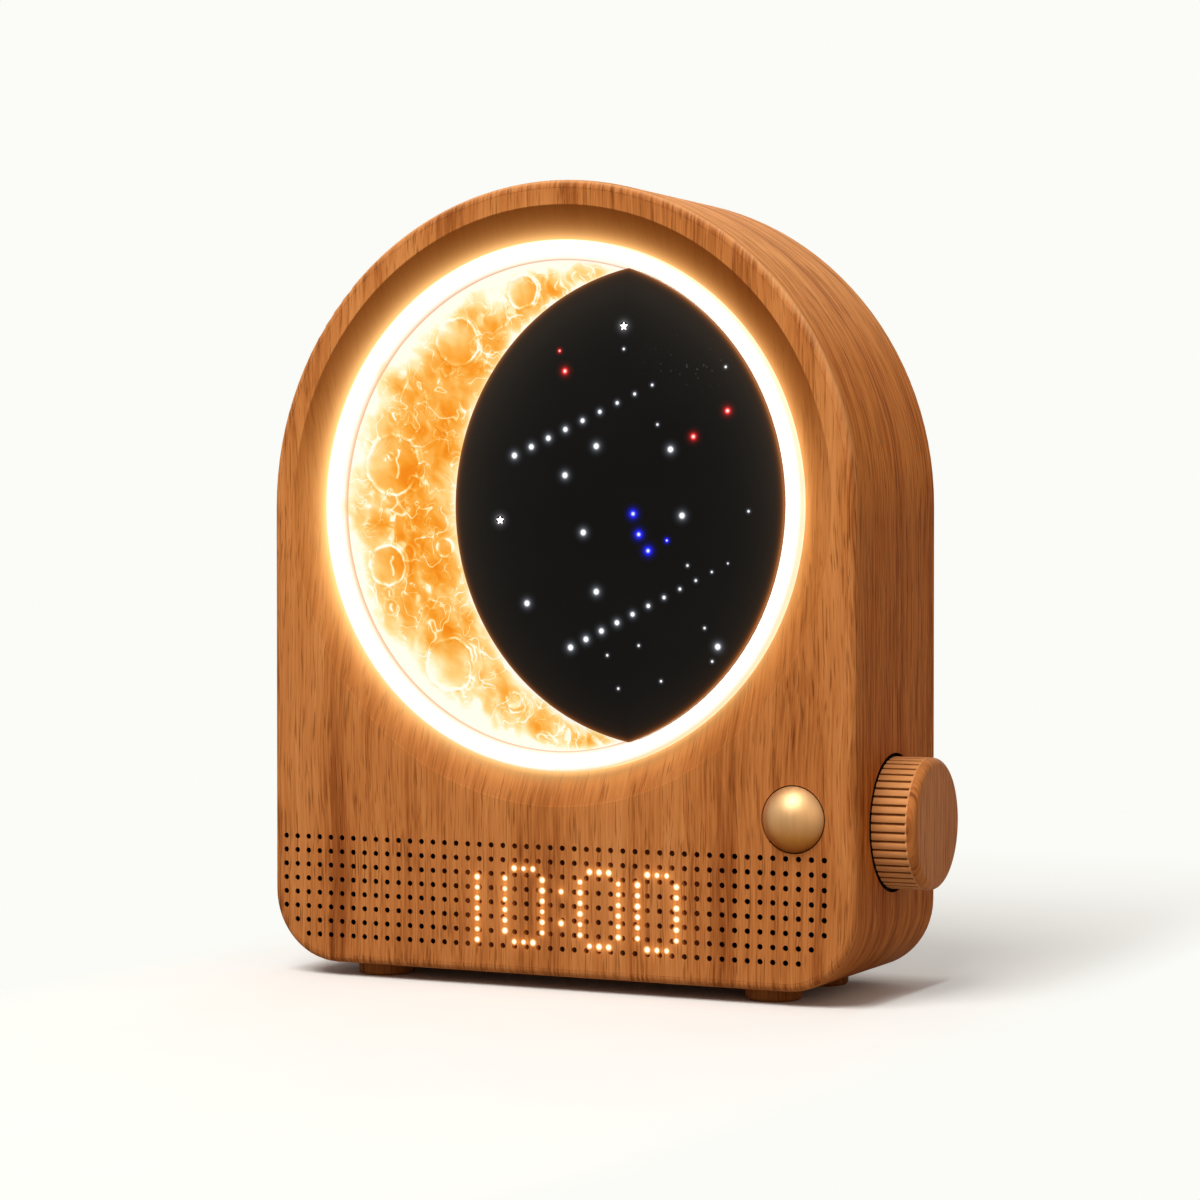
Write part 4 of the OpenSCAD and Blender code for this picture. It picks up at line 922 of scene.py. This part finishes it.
# %% Moon finish
SEAM = (0.80, 0.37, 0.19, 1)
SEAM_IN = 0.15 * MM
SEAM_RIGHT_W, SEAM_LEFT_W = 0.45 * MM, 1.25 * MM
PAINTED_LIGHT_FROM = (0.55, 0.0, 0.45)
smooth_share = add(moon_glow, "Attribute", out="Fac", attribute_name="plain")
rough_share = moon_maths("SUBTRACT", 1.0, smooth_share)
tone = add(moon_glow, "Attribute", out="Fac", attribute_name="tone")
tone = moon_maths("ADD", tone, moon_maths("MULTIPLY", detail, rough_share))
# painted light: slopes facing up and to the right are made paler
painted_slope_light = vectors(moon_glow, "DOT_PRODUCT", add(moon_glow, "TexCoord", out="Normal"), PAINTED_LIGHT_FROM, out="Value")
tone = moon_maths("ADD", tone, moon_maths("MULTIPLY", painted_slope_light, 0.40))
resin = ramp(moon_glow, tone, [
    (0.0, (0.88, 0.24, 0.006)), (0.20, (0.93, 0.34, 0.02)), (0.42, (0.95, 0.47, 0.085)),
    (0.62, (0.97, 0.65, 0.23)), (0.82, (0.99, 0.86, 0.52)), (1.0, (1.0, 0.98, 0.88)),
])
body = ramp(moon_glow, tone, [(0.1, (0.10, 0.035, 0.004)), (0.9, (0.16, 0.12, 0.05))])
seam_w = mapped(moon_glow, axes(moon_glow, here)[0], lamp.x, lamp.x - moon_r, SEAM_RIGHT_W, SEAM_LEFT_W)
inward = moon_maths("SUBTRACT", moon_r - SEAM_IN, gap_to_lamp(moon_glow))
inward = moon_maths("DIVIDE", inward, seam_w)
seam = moon_maths("MULTIPLY", mapped(moon_glow, inward, 0.0, 1.0, 0.0, 0.95),
                  mapped(moon_glow, inward, 1.15, 1.0))
into(moon_glow, Base_Color=body, Emission_Color=mixed(moon_glow, resin, SEAM, seam))
finished(shape, "moon_relief", moon_glow, ["moon_disc"])

# %% [markdown]
# The stars are the ends of light pins in the black panel. The frame knows only the three nodes that hold
# them, so the vertices on the front ends are gathered pin by pin.

# %% Find the pins
PIN_GAP = 2.6 * MM
ON_END = 0.02 * MM


def pin_ends(node):
    """Middle and radius of each pin of a node, from the vertices on its front end."""
    ends = []
    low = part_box(node)[0].y
    for v in cad[node].data.vertices:
        if v.co.y > low + ON_END:
            continue
        for group in ends:
            if (group[0] - v.co).length < PIN_GAP:
                group.append(v.co.copy())
                break
        else:
            ends.append([v.co.copy()])
    found = []
    for group in ends:
        left, right, bottom, top = (f(p[i] for p in group) for i in (0, 2) for f in (min, max))
        middle = Vector(((left + right) / 2, low, (bottom + top) / 2))
        found.append((middle, (right - left) / 2))
    return found


pins = {colour: pin_ends("star_pins_" + colour) for colour in ("white", "red", "blue")}
print({colour: len(found) for colour, found in pins.items()}, "pins")

# %% [markdown]
# Light leaks into the panel round each pin, so a star has a soft halo. A camera's glare would do this too,
# but it is gone in other pictures, so each pin gets a thin lens-shaped cap: a profile spun round the pin,
# with the colour of each ring of vertices as an attribute. A ring's radius is a multiple of its pin's. Small
# stars have narrower halos, and two are faint. The widest pins are cut as pointed stars, so their own faces
# show, and the halo lies only round them.

# %% Star caps
HALOS = {
    "white": [(0.0, (1.3, 1.3, 1.3)), (0.85, (1.1, 1.1, 1.1)), (1.15, (0.36, 0.37, 0.40)),
              (1.6, (0.075, 0.08, 0.095)), (2.4, (0.020, 0.022, 0.027)), (3.4, (0.004, 0.0045, 0.006)),
              (4.6, (0, 0, 0))],
    "red": [(0.0, (1.2, 1.0, 1.0)), (0.4, (1.2, 0.75, 0.72)), (0.85, (1.1, 0.06, 0.05)),
            (1.3, (0.40, 0.008, 0.008)), (1.9, (0.09, 0.003, 0.003)), (2.8, (0.018, 0, 0)), (4.2, (0, 0, 0))],
    "blue": [(0.0, (1.1, 1.1, 1.2)), (0.4, (0.8, 0.85, 1.2)), (0.9, (0.03, 0.05, 1.2)),
             (1.45, (0.008, 0.01, 0.70)), (2.1, (0.003, 0.003, 0.17)), (3.0, (0, 0, 0.035)),
             (4.4, (0, 0, 0))],
}
POINTED_HALO = [(1.02, (0.13, 0.13, 0.14)), (1.3, (0.05, 0.05, 0.054)), (1.7, (0.018, 0.018, 0.02)),
                (2.3, (0.005, 0.005, 0.006)), (3.0, (0, 0, 0))]
POINTED_PIN_R = 1 * MM
CAP_H = 0.03 * MM
CAP_SIDES = 20
SAME_PLACE = 0.0005 * MM
SMALL_STAR_R, SMALL_STAR_SIZE, GROWTH = 0.4 * MM, 0.66, 2.3 / MM
FAINT = [(50.0, -13.9), (2.5, 62.3)]
FAINT_SIZE, FAINT_NEAR = 0.55, 1.5 * MM


def add_cap(shape, tint, middle, radius, rings):
    """A flat lens spun round a pin: its rings of vertices carry the halo's colours."""
    first = rings[0][0]
    profile = []
    for way, colour in rings:
        lift = CAP_H * (1 - (way / rings[-1][0]) ** 2)
        v = shape.verts.new(middle + Vector((way * radius, -lift, 0)))
        v[tint] = (*colour, 1)
        profile.append(v)
    heel = shape.verts.new(middle + Vector((first * radius, 0, 0)))
    heel[tint] = BLACK
    profile.append(heel)
    edges = [shape.edges.new(pair) for pair in zip(profile, profile[1:])]
    if first > 0:
        edges.append(shape.edges.new((profile[-1], profile[0])))
    bmesh.ops.spin(shape, geom=profile + edges, cent=middle, axis=(0, 1, 0), angle=2 * math.pi,
                   steps=CAP_SIDES, use_merge=True)


def close_caps(shape):
    bmesh.ops.remove_doubles(shape, verts=shape.verts, dist=SAME_PLACE)
    bmesh.ops.recalc_face_normals(shape, faces=shape.faces)


faint_stars = [lamp + Vector((x, 0, z)) * moon_r / 100 for x, z in FAINT]
shape = bmesh.new()
tint = shape.verts.layers.float_color.new("halo")
for colour, found in pins.items():
    for middle, radius in found:
        size = min(1.0, SMALL_STAR_SIZE + GROWTH * (radius - SMALL_STAR_R))
        if any(math.hypot(middle.x - p.x, middle.z - p.z) < FAINT_NEAR for p in faint_stars):
            size = FAINT_SIZE
        rings = [(size * way, shade) for way, shade in HALOS[colour]]
        add_cap(shape, tint, middle, radius, POINTED_HALO if radius > POINTED_PIN_R else rings)
close_caps(shape)
star_halo, panel_glow = panel_finish("star_halo")
halo = add(star_halo, "Attribute", attribute_name="halo")
into(star_halo, Emission_Color=mixed(star_halo, panel_glow, halo, 1.0, "ADD"))
finished(shape, "star_caps", star_halo)

# %% [markdown]
# The lit dots of the time are small swells of light on the wood. Each is a shallow dome, white in its middle
# and fading to the warm tone of the halo round it, in the same way as the star caps.

# %% Lit dots
DOT = [(0.0, (1.6, 1.5, 1.3)), (0.52, (1.5, 1.4, 1.15)), (0.76, (1.1, 0.84, 0.48)),
       (1.0, (0.64, 0.31, 0.09)), (1.25, (0.30, 0.105, 0.024)), (1.5, (0.18, 0.06, 0.013))]
shape = bmesh.new()
tint = shape.verts.layers.float_color.new("halo")
for column, row in lit_dots:
    middle = dot_at(column, row)
    middle.y = face_y
    add_cap(shape, tint, middle, dice.uniform(0.62, 0.82) * MM, DOT)
close_caps(shape)
lit_wood = walnut("lit_wood", upright_grain)
fix(lit_wood, Emission_Strength=1.0)
into(lit_wood, Emission_Color=add(lit_wood, "Attribute", attribute_name="halo"))
finished(shape, "lit_dots", lit_wood)

# %% [markdown]
# The picture has a plain pale floor that melts into the background, and a soft shadow to the right. The
# floor is a wide disc. Near the clock it takes the shadow; further out, and sooner to the sides than to the
# back, what the camera sees of it fades into the background's own white, so no horizon shows. The light that
# the floor throws back is dimmer than what the eye sees, or the clock's underside would look lit.

# %% Floor
PAPER = (0.965, 0.972, 0.93, 1)
PAPER_BOUNCE = (0.36, 0.35, 0.34, 1)
FLOOR_R = 6.0
FADE_SIDE, FADE_DEEP = 0.045, 0.34


def by_eye(owner):
    """1 where a camera, a mirror or clear stuff looks at a thing, 0 where the thing only sheds light."""
    rays = add(owner, "LightPath").node.outputs
    looks = maths(owner, "MAXIMUM", rays["Is Camera Ray"], rays["Is Glossy Ray"])
    return maths(owner, "MAXIMUM", looks, rays["Is Transmission Ray"])


shape = bmesh.new()
bmesh.ops.create_circle(shape, cap_ends=True, segments=96, radius=FLOOR_R)
bmesh.ops.recalc_face_normals(shape, faces=shape.faces)
floor_mesh = bpy.data.meshes.new("floor")
shape.to_mesh(floor_mesh)
shape.free()
floor = bpy.data.objects.new("floor", floor_mesh)
scene.collection.objects.link(floor)
paper = new_finish("paper", Roughness=0.9, Specular_IOR_Level=0.0)
looks = by_eye(paper)
fibre = cloud(paper, place_in(paper), 30.0, 2.0)
sheet = ramp(paper, fibre, [(0.3, (0.915, 0.90, 0.88)), (0.7, (0.935, 0.92, 0.90))])
into(paper, Base_Color=mixed(paper, PAPER_BOUNCE, sheet, looks))
half = Vector((hoop_high.x - hoop_low.x, hoop_high.y - hoop_low.y, 0)) / 2
middle = Vector((lamp.x, (hoop_low.y + hoop_high.y) / 2, 0))
gap = gap_to_bar(paper, place_in(paper), middle, half, (1 / FADE_SIDE, 1 / FADE_DEEP, 0))
fade = ramp(paper, gap, [(0.0, (0, 0, 0)), (0.04, (0.27, 0.27, 0.27)), (0.5, (0.45, 0.45, 0.45)),
                         (1.0, (1, 1, 1))])
white = add(paper, "Emission", {"Color": PAPER})
faded = add(paper, "MixShader", [times(paper, looks, fade), shader_of(paper).outputs[0], white])
paper.node_tree.links.new(faded, paper.node_tree.nodes["Material Output"].inputs[0])
floor_mesh.materials.append(paper)
print("floor done")

# %% [markdown]
# The light is a studio's: a dim even room, which the world gives, a wide soft lamp above and in front that
# lights the face, the floor and the shoulders of the arch and throws the shadow back, a warm one from the
# right that keeps the side and the knob from going grey, and a weak wide one behind for the back.

# %% Light
ROOM, ROOM_LIGHT = (1.0, 0.985, 0.96, 1), 0.27
LAMPS_AIM = Vector((0, 0, 0.1))
world = bpy.data.worlds.new("studio")
scene.world = world
world.use_nodes = True
room = world.node_tree.nodes["Background"]
room.inputs["Color"].default_value = ROOM
room.inputs["Strength"].default_value = ROOM_LIGHT
sky = add(world, "Background", {"Color": PAPER})
backdrop = add(world, "MixShader", [by_eye(world), room.outputs[0], sky])
world.node_tree.links.new(backdrop, world.node_tree.nodes["World Output"].inputs[0])


def soft_lamp(name, place, size, power, colour):
    lamp_data = bpy.data.lights.new(name, "AREA")
    lamp_data.shape = "DISK"
    lamp_data.size = size
    lamp_data.energy = power
    lamp_data.color = colour
    softbox = bpy.data.objects.new(name, lamp_data)
    softbox.location = Vector(place)
    softbox.rotation_euler = (LAMPS_AIM - softbox.location).to_track_quat("-Z", "Y").to_euler()
    scene.collection.objects.link(softbox)


soft_lamp("overhead", (-0.16, -0.85, 1.25), 1.0, 21.4, (1.0, 0.98, 0.95))
soft_lamp("warm_fill", (1.2, -0.9, 0.5), 1.5, 3.7, (1.0, 0.58, 0.28))
soft_lamp("behind", (-0.3, 1.5, 0.9), 2.0, 7.5, (1.0, 0.97, 0.93))
scene.view_settings.view_transform = "Standard"
print("lights done")
